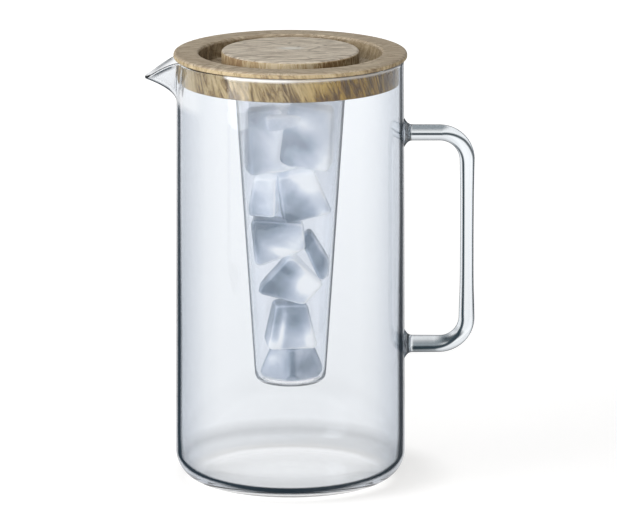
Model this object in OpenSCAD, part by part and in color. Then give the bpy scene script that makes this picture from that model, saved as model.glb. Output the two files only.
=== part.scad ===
// Glass pitcher with a turned wooden lid and a hanging ice core.
// The origin is the middle of the rest face. Z is up, the lip points to -X and the handle to +X.

/* [Jug] */
// Height of the glass rim above the table
jug_h = 232.8; // [200:0.1:270]
// Outer diameter of the jug at its foot
jug_foot_d = 125; // [121:0.5:135]
// Outer diameter of the jug at its mouth
jug_mouth_d = 122.9; // [119:0.1:128]
// Wall of the glass at the mouth
glass_t = 2.1; // [1.6:0.1:3]
// Wall of the glass at the foot
foot_glass_t = 3.15; // [2:0.05:4.5]
// Thickness of the glass floor
floor_t = 4; // [3:0.1:7]
// Outer radius of the rounded heel
heel_r = 16; // [10:0.5:22]
// Inner radius where the wall meets the floor
floor_corner_r = 10; // [6:0.5:14]
// Width of the ring that the jug stands on
rest_w = 8.5; // [5:0.5:15]
// Height of the hollow under the foot
kick_h = 1.2; // [0.5:0.1:2]

/* [Lip] */
// How far the pouring lip reaches past the wall
lip_reach = 18.7; // [12:0.1:22]
// How far below the rim the lip starts to leave the wall
lip_drop = 23.3; // [18:0.1:30]
// How far the tip of the lip lies below the rim
lip_dip = 10.3; // [7:0.1:13]
// Half of the lip's width where it leaves the rim
lip_half_w = 17.3; // [13:0.1:21]
// Radius of the lip's round nose
lip_nose_r = 6.6; // [5:0.1:8]
// Thickness of the glass in the lip
lip_t = 1.9; // [1.5:0.1:2.5]

/* [Handle] */
// How far the upper arm's middle lies below the rim
handle_drop = 41.1; // [35:0.1:60]
// Height of the lower arm's middle
handle_foot_z = 74.4; // [60:0.1:95]
// Distance from the glass at the mouth to the grip's middle
handle_reach = 34.35; // [28:0.05:46]
// Diameter of the rod in the middle of the grip
grip_d = 7.2; // [6:0.1:8.5]
// Diameter of the rod in the upper bend
top_bend_d = 8.3; // [7:0.1:10]
// Diameter of the rod in the lower bend
foot_bend_d = 8.9; // [7:0.1:10]
// Radius of the bends at the rod's middle
bend_r = 15; // [11:0.5:20]
// Diameter of the upper fused foot at the wall
top_weld_d = 16.5; // [13:0.1:20]
// Diameter of the lower fused foot at the wall
foot_weld_d = 18.6; // [14:0.1:22]

/* [Lid] */
// How far the wooden flange stands out past the glass
flange_over = 1.75; // [0.5:0.05:6]
// Thickness of the flange over the rim
flange_t = 3.3; // [2.5:0.1:6]
// Depth of the plug below the flange
plug_h = 13.4; // [11:0.1:20]
// Clearance around the plug in the mouth
plug_gap = 0.55; // [0.35:0.05:1]
// Width of the wood between the plug's side and the finger groove
plug_wall = 9; // [6:0.1:12]
// Width of the finger groove around the knob
groove_w = 12.5; // [9:0.1:16]
// Depth of the finger groove below the top of the lid
groove_h = 11.6; // [9:0.1:12.5]
// Radius of the cove at the bottom of the groove
groove_cove_r = 5; // [2:0.5:7]
// Depth of the ledge that carries the core
ledge_h = 1.6; // [1:0.1:2]

/* [Ice core] */
// Width of the core's foot as a share of its mouth
core_foot_share = 0.625; // [0.5:0.005:0.8]
// Gap between the core's foot and the floor of the jug
core_foot_gap = 50; // [20:0.5:90]
// Wall of the core
core_t = 1.6; // [1.2:0.1:2.4]
// Thickness of the core's floor
core_floor_t = 2.2; // [1.6:0.1:3.5]
// Outer radius at the foot of the core
core_corner_r = 4; // [2.5:0.5:7]
// Width of the core's flange around its mouth
core_flange_w = 4.65; // [3.5:0.05:6]
// Thickness of the core's flange
core_flange_t = 2.4; // [1.8:0.1:3.2]
// Thickness of the silicone ring under the flange
gasket_t = 1.2; // [0.8:0.1:2]

/* [Knob] */
// How far the knob's disc stands out past the core's flange
knob_over = 2.1; // [1:0.1:4]
// Height of the knob's disc
knob_h = 10; // [8:0.1:14]
// Depth of the plug under the disc
stopper_h = 9; // [7.5:0.1:12]
// Clearance between the stopper and the core
stopper_gap = 1.2; // [0.8:0.1:2]
// Height of the band of the silicone seal
seal_h = 5; // [4:0.1:6]
// Thickness of the band of the silicone seal
seal_t = 2; // [1.4:0.1:3]

/* [Ice] */
// Radius of the melted edges of the ice
ice_edge_r = 2.6; // [1.5:0.1:3.5]

/* [Hidden] */
$fn = 96;

// One overrun for every cut
over = 2;
// Gap at each seat between pieces that come apart
seat_gap = 0.3;
// Gap around the core's wall and flange in the lid
core_gap = 0.6;
// Gap between a silicone ring and the piece that wears it
ring_gap = 0.05;
// Small turned edge on wood and glass
edge_r = 1;
// Lower edge of the core's flange
under_edge_r = 0.5;
// Top edge of the knob and of the lid's flange
soft_edge_r = 1.5;
// Outer edges of the flat silicone ring
gasket_edge_r = 0.4;
// Height of one soft lip of the seal as a share of its band
seal_lip_share = 0.25;

// Jug
foot_r = jug_foot_d / 2;
mouth_r = jug_mouth_d / 2;
bore_r = mouth_r - glass_t;
rim_r = glass_t / 2;
kick_r = foot_r - heel_r - rest_w;
kick_ball_r = (kick_r * kick_r + kick_h * kick_h) / (2 * kick_h);

// Lip: steps along its side, and the depth to which its solid runs into the jug before the hollowing
lip_steps = 5;
lip_root = 12;
// How far the lip's outline starts inside the round wall, and the turns of the points on its nose
lip_sink = 0.7;
lip_nose_turns = [66, 48, 30, 11];
// Height of the nose's blunt front edge
lip_front = 0.8;
// How far the lip's rim runs level before it dips, and its depth there below the top of the rim
lip_level = 1;
lip_level_sink = 0.2;
// Heights of the lip's rows, and the curves of its keel and of its width over the height
lip_row_shares = [0.1, 0.25, 0.4, 0.55, 0.7, 0.85, 1, 1.3];
lip_keel_power = 1.8;
lip_width_power = 0.6;
// Where the hollow side of the lip is drawn in, along its reach and across its width
lip_hollow_shares = [0.36, 0.42];

// Handle
handle_top_z = jug_h - handle_drop;
grip_x = mouth_r + handle_reach;
// The arm is a little thicker at the wall than in the bend
arm_share = 1.06;
// Thickness of the fused foot's rim on the wall, and the depth of the flare in it
weld_rim = 0.4;
weld_sink = 0.3;
// Share of the grip's length over which the rod thins at each end
grip_thin_share = 0.36;

// Heights in the lid, from the glass rim upwards
flange_z = jug_h + seat_gap;
lid_top_z = flange_z + flange_t;
plug_z = flange_z - plug_h;
groove_z = lid_top_z - groove_h;
ledge_z = groove_z - ledge_h;
gasket_z = ledge_z + seat_gap;
core_seat_z = gasket_z + gasket_t;
core_top_z = core_seat_z + core_flange_t;
knob_z = core_top_z + seat_gap;
stopper_z = knob_z - stopper_h;

// Radii in the lid, from the glass inwards
lid_r = mouth_r + flange_over;
plug_r = bore_r - plug_gap;
groove_r = plug_r - plug_wall;
knob_r = groove_r - groove_w;
core_flange_r = knob_r - knob_over;
core_mouth_r = core_flange_r - core_flange_w;
core_foot_r = core_mouth_r * core_foot_share;

// Core
core_foot_z = floor_t + core_foot_gap;
core_l = core_seat_z - core_foot_z;
core_floor_z = core_foot_z + core_floor_t;
core_depth = core_seat_z - core_floor_z;
core_lean = (core_mouth_r - core_foot_r) / core_l;
core_bore_mouth_r = core_mouth_r - core_t;
stopper_r = core_bore_mouth_r - stopper_gap;
seal_r = stopper_r - seal_t;
seal_lip_r = core_bore_mouth_r - core_lean * stopper_h - seat_gap;
seal_z = stopper_z + (stopper_h - seal_h) / 2;

// How far the straight side of a cup's section runs into its round corner, as a share of its radius
corner_root_share = 0.5;

// Outer and inner radius of the core at a height
function core_r(z) = core_foot_r + core_lean * (z - core_foot_z);
function core_bore_r(z) = core_r(z) - core_t;

// Outer radius of the jug at a height above its heel
function jug_r(z) = foot_r - (foot_r - mouth_r) * z / (jug_h - rim_r);

// Half section of a cup: a round corner, then a straight wall that leans from foot_w to top_w
module cup_section(foot_w, top_w, h, corner) {
    lean = (top_w - foot_w) / h;
    slant = sqrt(1 + lean * lean);
    c = [foot_w + lean * corner - corner * slant, corner];
    touch = c + corner * [1, -lean] / slant;
    root = c + [corner, -corner] * corner_root_share;
    polygon([[0, 0], [c.x, 0], root, touch, [top_w, h], [0, h]]);
    intersection() {
        translate(c) circle(corner);
        polygon([c, [c.x, -over], [touch.x + over, -over], c + (touch - c) * (1 + over)]);
    }
}

// Piece of a section that rounds a corner off, placed with its corner at the origin
module round_off(r) {
    difference() {
        translate([-r, -r]) square(r + over);
        translate([-r, -r]) circle(r);
    }
}

// Half of the lip's round nose in plan, from its side to its middle
function lip_nose(tip_x, r) = [
    for (turn = lip_nose_turns) [tip_x - r + r * cos(turn), r * sin(turn)]
];

// Side of the lip in plan, from the wall to the nose: a hollow curve through three points
function bend(a, b, c, t) = a * (1 - t) * (1 - t) + b * 2 * t * (1 - t) + c * t * t;
function lip_side(wall_x, reach, half_w, nose_start) = [
    for (i = [0 : lip_steps - 1])
        bend(
            [wall_x, half_w],
            [wall_x + reach * lip_hollow_shares[0], half_w * lip_hollow_shares[1]],
            nose_start,
            i / lip_steps
        )
];

// Closed outline of the lip at one height, drawn towards -X
function mirrored(p) = [for (i = [len(p) - 1 : -1 : 0]) [p[i].x, -p[i].y]];
function lip_outline(wall_x, reach, half_w, nose_r) =
    let (nose = lip_nose(wall_x + reach, nose_r))
    let (side = lip_side(wall_x, reach, half_w, nose[0]))
    let (half = concat([[wall_x - lip_root, half_w]], side, nose))
    concat(half, mirrored(half));

// Solid of the lip, or of its hollow when it is drawn in by inset
module lip_solid(inset, front) {
    start = lip_drop - inset;
    tip_h = start - lip_dip - front;
    wall_x = mouth_r - inset - lip_sink;
    reach = lip_reach + lip_sink;
    heights = concat([for (share = lip_row_shares) share * tip_h], [start + over]);
    rows = [
        for (h = heights)
            [
                for (p = lip_outline(
                    wall_x,
                    reach * pow(min(h / tip_h, 1), lip_keel_power),
                    (lip_half_w - inset) * pow(h / start, lip_width_power),
                    (lip_nose_r - inset) * min(h / tip_h, 1)
                ))
                    [-p.x, p.y, jug_h - start + h]
            ]
    ];
    loft(rows);
}

// Closed solid through rows of points that have the same count
module loft(rows) {
    n = len(rows[0]);
    m = len(rows);
    points = [for (row = rows) each row];
    sides = [
        for (i = [0 : m - 2], j = [0 : n - 1])
            each [
                [i * n + j, (i + 1) * n + j, i * n + (j + 1) % n],
                [i * n + (j + 1) % n, (i + 1) * n + j, (i + 1) * n + (j + 1) % n]
            ]
    ];
    bottom = [for (j = [0 : n - 1]) j];
    top = [for (j = [n - 1 : -1 : 0]) (m - 1) * n + j];
    polyhedron(points, concat([bottom], sides, [top]));
}

// Everything above the lip's sloping rim and above the glass rim
module above_lip() {
    far = lip_reach * 2;
    level_z = jug_h - lip_level_sink;
    slope = (lip_dip - lip_level_sink) / (lip_reach - lip_level);
    rotate([90, 0, 0])
        linear_extrude(mouth_r * 2, center = true)
            polygon([
                [0, level_z],
                [-mouth_r - lip_level, level_z],
                [-mouth_r - lip_level - far, level_z - slope * far],
                [-mouth_r - lip_level - far, jug_h + lip_drop],
                [0, jug_h + lip_drop]
            ]);
}

// Jug without its lip and before it is hollowed, with the outer half of its rounded rim
module jug_outside() {
    rotate_extrude() {
        cup_section(foot_r, mouth_r, jug_h - rim_r, heel_r);
        translate([mouth_r - rim_r, jug_h - rim_r]) circle(rim_r);
    }
}

// Inside of the jug, with the inner half of the rounded rim
module jug_inside() {
    rotate_extrude() {
        translate([0, floor_t])
            cup_section(foot_r - foot_glass_t, bore_r, jug_h - floor_t + over, floor_corner_r);
        difference() {
            translate([0, jug_h - rim_r]) square([mouth_r - rim_r, rim_r + over]);
            translate([mouth_r - rim_r, jug_h - rim_r]) circle(rim_r);
        }
    }
}

module jug_body() {
    color([0.8, 0.88, 0.9, 0.4])
        difference() {
            union() {
                jug_outside();
                difference() {
                    lip_solid(0, lip_front);
                    above_lip();
                }
            }
            jug_inside();
            lip_solid(lip_t, 0);
            translate([0, 0, kick_h - kick_ball_r]) sphere(kick_ball_r);
        }
}

// Straight run of rod along +X whose thickness changes evenly
module rod(l, d1, d2) {
    rotate([0, 90, 0]) cylinder(h = l, d1 = d1, d2 = d2);
}

// Flared foot around a rod that points to +X, widest at the wall
module weld(d, rod_d) {
    flare = (d - rod_d) / 2;
    rotate([0, 90, 0])
        rotate_extrude()
            difference() {
                square([d / 2, flare]);
                translate([d / 2, flare]) circle(flare);
            }
}

// Quarter bend of the rod in the XZ plane, from +X at its start to the vertical
module elbow(d, up) {
    rotate([90, 0, 0])
        rotate_extrude(angle = up ? 90 : -90)
            translate([bend_r, 0]) circle(d = d);
}

// One arm: fused foot, run of rod and bend, ending at the grip
module arm(z, weld_d, bend_d, up) {
    start_x = jug_r(z) - glass_t / 2;
    arm_d = bend_d * arm_share;
    translate([start_x, 0, z]) {
        rod(grip_x - bend_r - start_x, arm_d, bend_d);
        translate([glass_t / 2 + weld_rim - weld_sink, 0, 0]) weld(weld_d, arm_d);
        rod(glass_t / 2 + weld_rim, weld_d, weld_d);
    }
    translate([grip_x - bend_r, 0, up ? z - bend_r : z + bend_r]) elbow(bend_d, up);
}

module grip() {
    low = handle_foot_z + bend_r;
    high = handle_top_z - bend_r;
    thin = (high - low) * grip_thin_share;
    translate([grip_x, 0, low]) cylinder(h = thin, d1 = foot_bend_d, d2 = grip_d);
    translate([grip_x, 0, low + thin]) cylinder(h = high - low - thin * 2, d = grip_d);
    translate([grip_x, 0, high - thin]) cylinder(h = thin, d1 = grip_d, d2 = top_bend_d);
}

module handle() {
    color([0.75, 0.85, 0.88, 0.5])
        difference() {
            union() {
                arm(handle_top_z, top_weld_d, top_bend_d, true);
                arm(handle_foot_z, foot_weld_d, foot_bend_d, false);
                grip();
            }
            jug_outside();
        }
}

module lid_ring() {
    ledge_r = core_flange_r + core_gap;
    core_hole_r = core_mouth_r + core_gap;
    color([0.68, 0.58, 0.44])
        rotate_extrude()
            difference() {
                union() {
                    translate([0, flange_z]) square([lid_r, flange_t]);
                    translate([0, plug_z]) square([plug_r, plug_h]);
                }
                translate([lid_r, lid_top_z]) round_off(soft_edge_r);
                translate([lid_r, flange_z]) mirror([0, 1]) round_off(edge_r);
                translate([plug_r, plug_z]) mirror([0, 1]) round_off(edge_r);
                translate([0, groove_z]) cup_section(groove_r, groove_r, groove_h + over, groove_cove_r);
                translate([0, ledge_z]) square([ledge_r, ledge_h + over]);
                translate([0, plug_z - over]) square([core_hole_r, plug_h]);
                translate([groove_r, lid_top_z]) mirror([1, 0]) round_off(edge_r);
            }
}

module core_tube() {
    flange_root = core_flange_t - edge_r;
    mouth_edge_r = core_bore_mouth_r + core_lean * (core_flange_t + over);
    color([0.82, 0.87, 0.92, 0.45])
        rotate_extrude()
            difference() {
                union() {
                    translate([0, core_foot_z])
                        cup_section(
                            core_foot_r, core_r(core_seat_z + flange_root), core_l + flange_root,
                            core_corner_r
                        );
                    translate([0, core_seat_z]) square([core_flange_r, core_flange_t]);
                }
                translate([0, core_floor_z])
                    cup_section(
                        core_bore_r(core_floor_z), mouth_edge_r, core_depth + core_flange_t + over,
                        core_corner_r - core_t
                    );
                translate([core_flange_r, core_top_z]) round_off(edge_r);
                translate([core_flange_r, core_seat_z]) mirror([0, 1]) round_off(under_edge_r);
            }
}

module core_gasket() {
    inner_r = core_mouth_r + ring_gap;
    color([0.9, 0.9, 0.88])
        rotate_extrude()
            difference() {
                translate([inner_r, gasket_z]) square([core_flange_r - inner_r, gasket_t]);
                translate([core_flange_r, core_seat_z]) round_off(gasket_edge_r);
                translate([core_flange_r, gasket_z]) mirror([0, 1]) round_off(gasket_edge_r);
            }
}

module knob() {
    color([0.66, 0.57, 0.45])
        rotate_extrude()
            difference() {
                union() {
                    translate([0, knob_z]) square([knob_r, knob_h]);
                    translate([0, stopper_z]) square([stopper_r, stopper_h]);
                }
                translate([knob_r, knob_z + knob_h]) round_off(soft_edge_r);
                translate([knob_r, knob_z]) mirror([0, 1]) round_off(edge_r);
                translate([stopper_r, stopper_z]) mirror([0, 1]) round_off(edge_r);
                translate([seal_r - ring_gap, seal_z - ring_gap])
                    square([seal_t + over, seal_h + ring_gap * 2]);
            }
}

// Band in the stopper's groove with two soft lips that wipe the core's wall
module knob_seal() {
    lip_d = seal_h * seal_lip_share;
    color([0.9, 0.9, 0.88])
        rotate_extrude() {
            translate([seal_r, seal_z]) square([seal_t, seal_h]);
            for (z = [seal_z + lip_d, seal_z + seal_h - lip_d])
                hull() {
                    translate([seal_r + seal_t / 2, z - lip_d / 2]) square([seal_t / 2, lip_d]);
                    translate([seal_lip_r - lip_d / 4, z]) circle(d = lip_d / 2);
                }
        }
}

// Bore of the core at its floor and mouth, and its inner depth, for which the ice is laid out.
// In any other core the ice keeps its places and stretches with it.
ice_plan_foot_r = 17.64;
ice_plan_mouth_r = 28.95;
ice_plan_depth = 168.5;

// Where each piece of ice lies. Across the core everything is a share of its bore's radius at that
// height, and along the core a share of its inner depth. Turns are in degrees. The last two say how
// much the far end narrows and whether the taper runs up (0) or sideways (1).
ice_place_shares = [
    // x, y, z, turn x, turn y, turn z, width, depth, height, narrow, sideways
    [0, 0, 0.053, 0, 0, 45, 1.4, 1.4, 0.1, 0.72, 0],
    [-0.03, -0.05, 0.178, 0, 0, 8, 1.28, 1.23, 0.146, 0.7, 0],
    [0.14, -0.1, 0.325, 0, 36, 0, 1.04, 0.9, 0.148, 0.64, 1],
    [-0.3, -0.09, 0.46, 0, -6, 0, 1.06, 0.84, 0.13, 0.62, 1],
    [0.585, 0.05, 0.4, 0, -38, 0, 0.37, 0.72, 0.105, 0.8, 0],
    [0.27, -0.14, 0.591, 0, -14, 5, 0.91, 0.75, 0.142, 0.8, 0],
    [-0.53, -0.14, 0.583, 0, 4, -8, 0.6, 0.7, 0.13, 0.85, 0],
    [-0.52, -0.15, 0.74, 0, -4, 12, 0.77, 0.77, 0.148, 0.8, 0],
    [0.46, -0.15, 0.754, 0, 8, -8, 0.88, 0.77, 0.148, 0.8, 0],
    [-0.11, 0.51, 0.56, 10, 28, 8, 0.83, 0.54, 0.13, 0.8, 0],
    [-0.04, 0.57, 0.72, 4, -20, 6, 0.85, 0.5, 0.13, 0.8, 0],
    [0.02, -0.07, 0.859, 4, -4, 12, 0.94, 0.87, 0.053, 0.8, 1]
];

// Frustum with melted edges, narrower at its far end
module ice(size, narrow) {
    hull()
        for (end = [-1, 1], i = [-1, 1], j = [-1, 1]) {
            k = end < 0 ? 1 : narrow;
            translate([
                i * (size.x / 2 * k - ice_edge_r),
                j * (size.y / 2 * k - ice_edge_r),
                end * (size.z / 2 - ice_edge_r)
            ])
                sphere(ice_edge_r, $fn = 12);
        }
}

module ice_cube(n) {
    s = ice_place_shares[n - 1];
    z = core_floor_z + s[2] * core_depth;
    r = core_bore_r(z);
    plan_r = ice_plan_foot_r + (ice_plan_mouth_r - ice_plan_foot_r) * s[2];
    size = [s[6] * plan_r, s[7] * plan_r, s[8] * ice_plan_depth];
    color([0.78, 0.84, 0.92, 0.8])
        translate([s[0] * r, s[1] * r, z])
            scale([r / plan_r, r / plan_r, core_depth / ice_plan_depth])
                rotate([s[3], s[4], s[5]])
                    if (s[10] == 1)
                        rotate([0, 90, 0]) ice([size.z, size.y, size.x], s[9]);
                    else
                        ice(size, s[9]);
}

jug_body();
handle();
lid_ring();
core_tube();
core_gasket();
knob();
knob_seal();
ice_cube(1);  // ice_cube_01
ice_cube(2);  // ice_cube_02
ice_cube(3);  // ice_cube_03
ice_cube(4);  // ice_cube_04
ice_cube(5);  // ice_cube_05
ice_cube(6);  // ice_cube_06
ice_cube(7);  // ice_cube_07
ice_cube(8);  // ice_cube_08
ice_cube(9);  // ice_cube_09
ice_cube(10);  // ice_cube_10
ice_cube(11);  // ice_cube_11
ice_cube(12);  // ice_cube_12
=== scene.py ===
"""Looks of the glass pitcher with its wooden lid and hanging ice core, laid out as a Blender add-on."""

import math

import bmesh
import bpy
import numpy as np
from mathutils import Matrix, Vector


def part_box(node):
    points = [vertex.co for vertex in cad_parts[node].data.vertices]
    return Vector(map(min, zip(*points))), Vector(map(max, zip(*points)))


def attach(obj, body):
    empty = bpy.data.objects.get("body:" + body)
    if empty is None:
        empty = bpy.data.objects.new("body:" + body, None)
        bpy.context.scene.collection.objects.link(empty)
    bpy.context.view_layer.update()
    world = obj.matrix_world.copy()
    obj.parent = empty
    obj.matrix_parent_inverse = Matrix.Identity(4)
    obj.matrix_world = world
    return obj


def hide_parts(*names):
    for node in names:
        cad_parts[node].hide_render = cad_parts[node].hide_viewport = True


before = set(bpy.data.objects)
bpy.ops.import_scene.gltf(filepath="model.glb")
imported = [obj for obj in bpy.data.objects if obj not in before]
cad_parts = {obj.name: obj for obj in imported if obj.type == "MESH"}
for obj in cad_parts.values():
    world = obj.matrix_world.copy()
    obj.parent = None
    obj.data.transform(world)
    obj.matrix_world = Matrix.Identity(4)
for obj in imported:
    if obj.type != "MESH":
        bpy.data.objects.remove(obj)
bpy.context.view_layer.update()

bl_info = {
    "name": "Pitcher with ice core",
    "version": (1, 0, 0),
    "blender": (4, 5, 0),
    "location": "3D View > Sidebar > Pitcher",
    "description": "Builds the glass jug, its turned lid, the ice core and the studio around them",
    "category": "Object",
}

MM = 0.001
JUG_LOW, JUG_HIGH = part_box("jug_body")
HANDLE_LOW, HANDLE_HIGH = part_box("handle")
LID_LOW, LID_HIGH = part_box("lid_ring")
CORE_LOW, CORE_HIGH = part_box("core_tube")
GASKET_LOW, GASKET_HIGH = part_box("core_gasket")
KNOB_LOW, KNOB_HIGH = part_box("knob")
SEAL_LOW, SEAL_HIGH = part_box("knob_seal")
ICE_NODES = sorted(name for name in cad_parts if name.startswith("ice_cube"))


# Helpers for meshes


def clamped(value):
    """A value kept between 0 and 1."""
    return min(max(value, 0.0), 1.0)


def arc(centre, radius, start, end, steps):
    """Points on an arc in the (r, z) plane, angles in degrees."""
    angles = np.radians(np.linspace(start, end, steps + 1))
    return [(centre[0] + radius * math.cos(a), centre[1] + radius * math.sin(a)) for a in angles]


def rounded(corners, steps=6):
    """Closed section through (r, z, radius) corners, each one rounded with its own radius."""
    # A round takes up at most this share of each side beside it
    side_share = 0.49
    points = []
    count = len(corners)
    for i, (r, z, radius) in enumerate(corners):
        here = Vector((r, z))
        before = Vector(corners[i - 1][:2]) - here
        after = Vector(corners[(i + 1) % count][:2]) - here
        if radius <= 0:
            points.append((r, z))
            continue
        half = before.angle(after) / 2
        reach = min(radius / math.tan(half), before.length * side_share, after.length * side_share)
        a = here + before.normalized() * reach
        b = here + after.normalized() * reach
        # A rational quadratic curve with this weight is the exact round
        w = math.sin(half)
        for k in range(steps + 1):
            t = k / steps
            low = (1 - t) ** 2 + 2 * w * t * (1 - t) + t**2
            p = (a * (1 - t) ** 2 + here * 2 * w * t * (1 - t) + b * t**2) / low
            points.append((p.x, p.y))
    return points


def refined(section, longest):
    """The same closed section with its long straight runs cut into shorter ones."""
    result = []
    for i, start in enumerate(section):
        a = Vector(start)
        b = Vector(section[(i + 1) % len(section)])
        parts = max(1, math.ceil((b - a).length / longest))
        result.extend(tuple(a.lerp(b, k / parts)) for k in range(parts))
    return result


def placed(name, data):
    """A new object in the scene that holds this data."""
    made = bpy.data.objects.new(name, data)
    bpy.context.scene.collection.objects.link(made)
    return made


def mark_points(mesh, marks):
    """Stores numbers on the points of a mesh, each list under its name, for the material to read."""
    for key, values in marks.items():
        store = mesh.attributes.new(key, "FLOAT", "POINT").data
        store.foreach_set("value", np.asarray(values, dtype=np.float32))


def mesh_object(name, points, faces, marks):
    """A smooth object of this mesh, with its faces turned outwards. marks are values on its points."""
    mesh = bpy.data.meshes.new(name)
    mesh.from_pydata([tuple(p) for p in points], [], faces)
    mark_points(mesh, marks)
    work = bmesh.new()
    work.from_mesh(mesh)
    bmesh.ops.remove_doubles(work, verts=work.verts, dist=1e-7)
    bmesh.ops.recalc_face_normals(work, faces=work.faces)
    work.to_mesh(mesh)
    work.free()
    mesh.polygons.foreach_set("use_smooth", [True] * len(mesh.polygons))
    mesh.update()
    return placed(name, mesh)


def turned(name, section, columns, relief=None, marks=None):
    """A closed section in (r, z), turned around the Z axis.

    relief(r, z, angle) moves a point outwards, and each of marks is a function of (r, z, angle).
    """
    marks = marks or {}
    values = {key: [] for key in marks}
    angles = np.linspace(0, 2 * math.pi, columns, endpoint=False)
    points = []
    faces = []
    rows = []
    for r, z in section:
        if r < 1e-6:
            rows.append([len(points)] * columns)
            points.append((0.0, 0.0, z))
            for key, mark in marks.items():
                values[key].append(mark(r, z, 0.0))
            continue
        rows.append(list(range(len(points), len(points) + columns)))
        for a in angles:
            dr, dz = relief(r, z, a) if relief else (0.0, 0.0)
            points.append(((r + dr) * math.cos(a), (r + dr) * math.sin(a), z + dz))
            for key, mark in marks.items():
                values[key].append(mark(r, z, a))
    for i, low in enumerate(rows):
        high = rows[(i + 1) % len(rows)]
        for j in range(columns):
            k = (j + 1) % columns
            corners = list(dict.fromkeys((low[j], low[k], high[k], high[j])))
            if len(corners) > 2:
                faces.append(corners)
    return mesh_object(name, points, faces, values)


def finish_piece(piece, body, slot, *nodes):
    """Lets a piece ride on its body and stand for its CAD nodes."""
    if nodes:
        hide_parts(*nodes)
    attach(piece, body)


# Helpers for materials. Wherever they take a value, it is a number, a colour, a vector or a socket


def set_input(tree, socket, value):
    """Links an input to a socket, or gives it a plain value. None leaves it as it is."""
    if isinstance(value, bpy.types.NodeSocket):
        tree.links.new(value, socket)
    elif value is not None:
        opaque = socket.type == "RGBA" and len(value) == 3
        socket.default_value = (*value, 1.0) if opaque else value


def add(tree, kind, place, inputs=None, **settings):
    """Adds a node at a place, with its settings and its inputs."""
    made = tree.nodes.new(kind)
    made.location = place
    for key, value in settings.items():
        setattr(made, key, value)
    for key, value in (inputs or {}).items():
        set_input(tree, made.inputs[key], value)
    return made


def add_math(tree, place, operation, a, b=None):
    """The result of a Math node."""
    return add(tree, "ShaderNodeMath", place, {0: a, 1: b}, operation=operation).outputs[0]


def add_vector(tree, place, operation, a, b=None):
    """The result of a Vector Math node, which is a number for a length."""
    second = "Scale" if operation == "SCALE" else 1
    made = add(tree, "ShaderNodeVectorMath", place, {0: a, second: b}, operation=operation)
    return made.outputs["Value" if operation == "LENGTH" else "Vector"]


def add_noise(tree, place, vector, scale, detail=2.0, roughness=0.5, distortion=0.0):
    """The value of a noise texture."""
    inputs = {"Vector": vector, "Scale": scale, "Detail": detail}
    inputs.update({"Roughness": roughness, "Distortion": distortion})
    return add(tree, "ShaderNodeTexNoise", place, inputs).outputs["Fac"]


def add_range(tree, place, value, low, high, to_low=0.0, to_high=1.0, **settings):
    """A value that is mapped from low and high to two others."""
    inputs = {"Value": value, "From Min": low, "From Max": high, "To Min": to_low, "To Max": to_high}
    return add(tree, "ShaderNodeMapRange", place, inputs, **settings).outputs["Result"]


def add_bump(tree, place, height, strength, distance):
    """The normal of a bumped surface."""
    inputs = {"Height": height, "Strength": strength, "Distance": distance}
    return add(tree, "ShaderNodeBump", place, inputs).outputs["Normal"]


def add_ramp(tree, place, factor, stops):
    """The colour of a ramp with these (position, colour) stops."""
    made = add(tree, "ShaderNodeValToRGB", place, {"Fac": factor})
    elements = made.color_ramp.elements
    while len(elements) < len(stops):
        elements.new(1.0)
    for element, (position, colour) in zip(elements, stops):
        element.position = position
        element.color = (*colour, 1.0)
    return made.outputs["Color"]


def mix_colour(tree, place, factor, a, b, blend="MIX"):
    """A mix of two colours."""
    made = add(tree, "ShaderNodeMix", place, data_type="RGBA", blend_type=blend)
    for index, value in ((0, factor), (6, a), (7, b)):
        set_input(tree, made.inputs[index], value)
    return made.outputs[2]


def mix_value(tree, place, factor, a, b):
    """A mix of two numbers."""
    return add(tree, "ShaderNodeMix", place, {0: factor, 2: a, 3: b}, data_type="FLOAT").outputs[0]


def mix_shader(tree, place, factor, a, b):
    """A mix of two shaders."""
    return add(tree, "ShaderNodeMixShader", place, {0: factor, 1: a, 2: b}).outputs[0]


def add_principled(tree, place, inputs):
    """A Principled BSDF with these inputs."""
    return add(tree, "ShaderNodeBsdfPrincipled", place, inputs).outputs[0]


def object_place(tree, place):
    """The place of a point on its own piece."""
    return add(tree, "ShaderNodeTexCoord", place).outputs["Object"]


def read_mark(tree, place, key):
    """The number that a piece stores on its points under this name."""
    return add(tree, "ShaderNodeAttribute", place, attribute_name=key).outputs["Fac"]


def new_material(name, output_x=900):
    """An empty material, its tree and the input of its output node."""
    material = bpy.data.materials.new(name)
    material.use_nodes = True
    tree = material.node_tree
    tree.nodes.clear()
    output = add(tree, "ShaderNodeOutputMaterial", (output_x, 0))
    return material, tree, output.inputs["Surface"]


def new_group(name, start_x, inputs, outputs):
    """An empty node group and what it takes in: numbers, or a vector where the default is None."""
    group = bpy.data.node_groups.new(name, "ShaderNodeTree")
    for key, default in inputs.items():
        kind = "NodeSocketVector" if default is None else "NodeSocketFloat"
        socket = group.interface.new_socket(name=key, in_out="INPUT", socket_type=kind)
        if default is not None:
            socket.default_value = default
    for key in outputs:
        group.interface.new_socket(name=key, in_out="OUTPUT", socket_type="NodeSocketFloat")
    return group, add(group, "NodeGroupInput", (start_x, 0)).outputs


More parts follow.
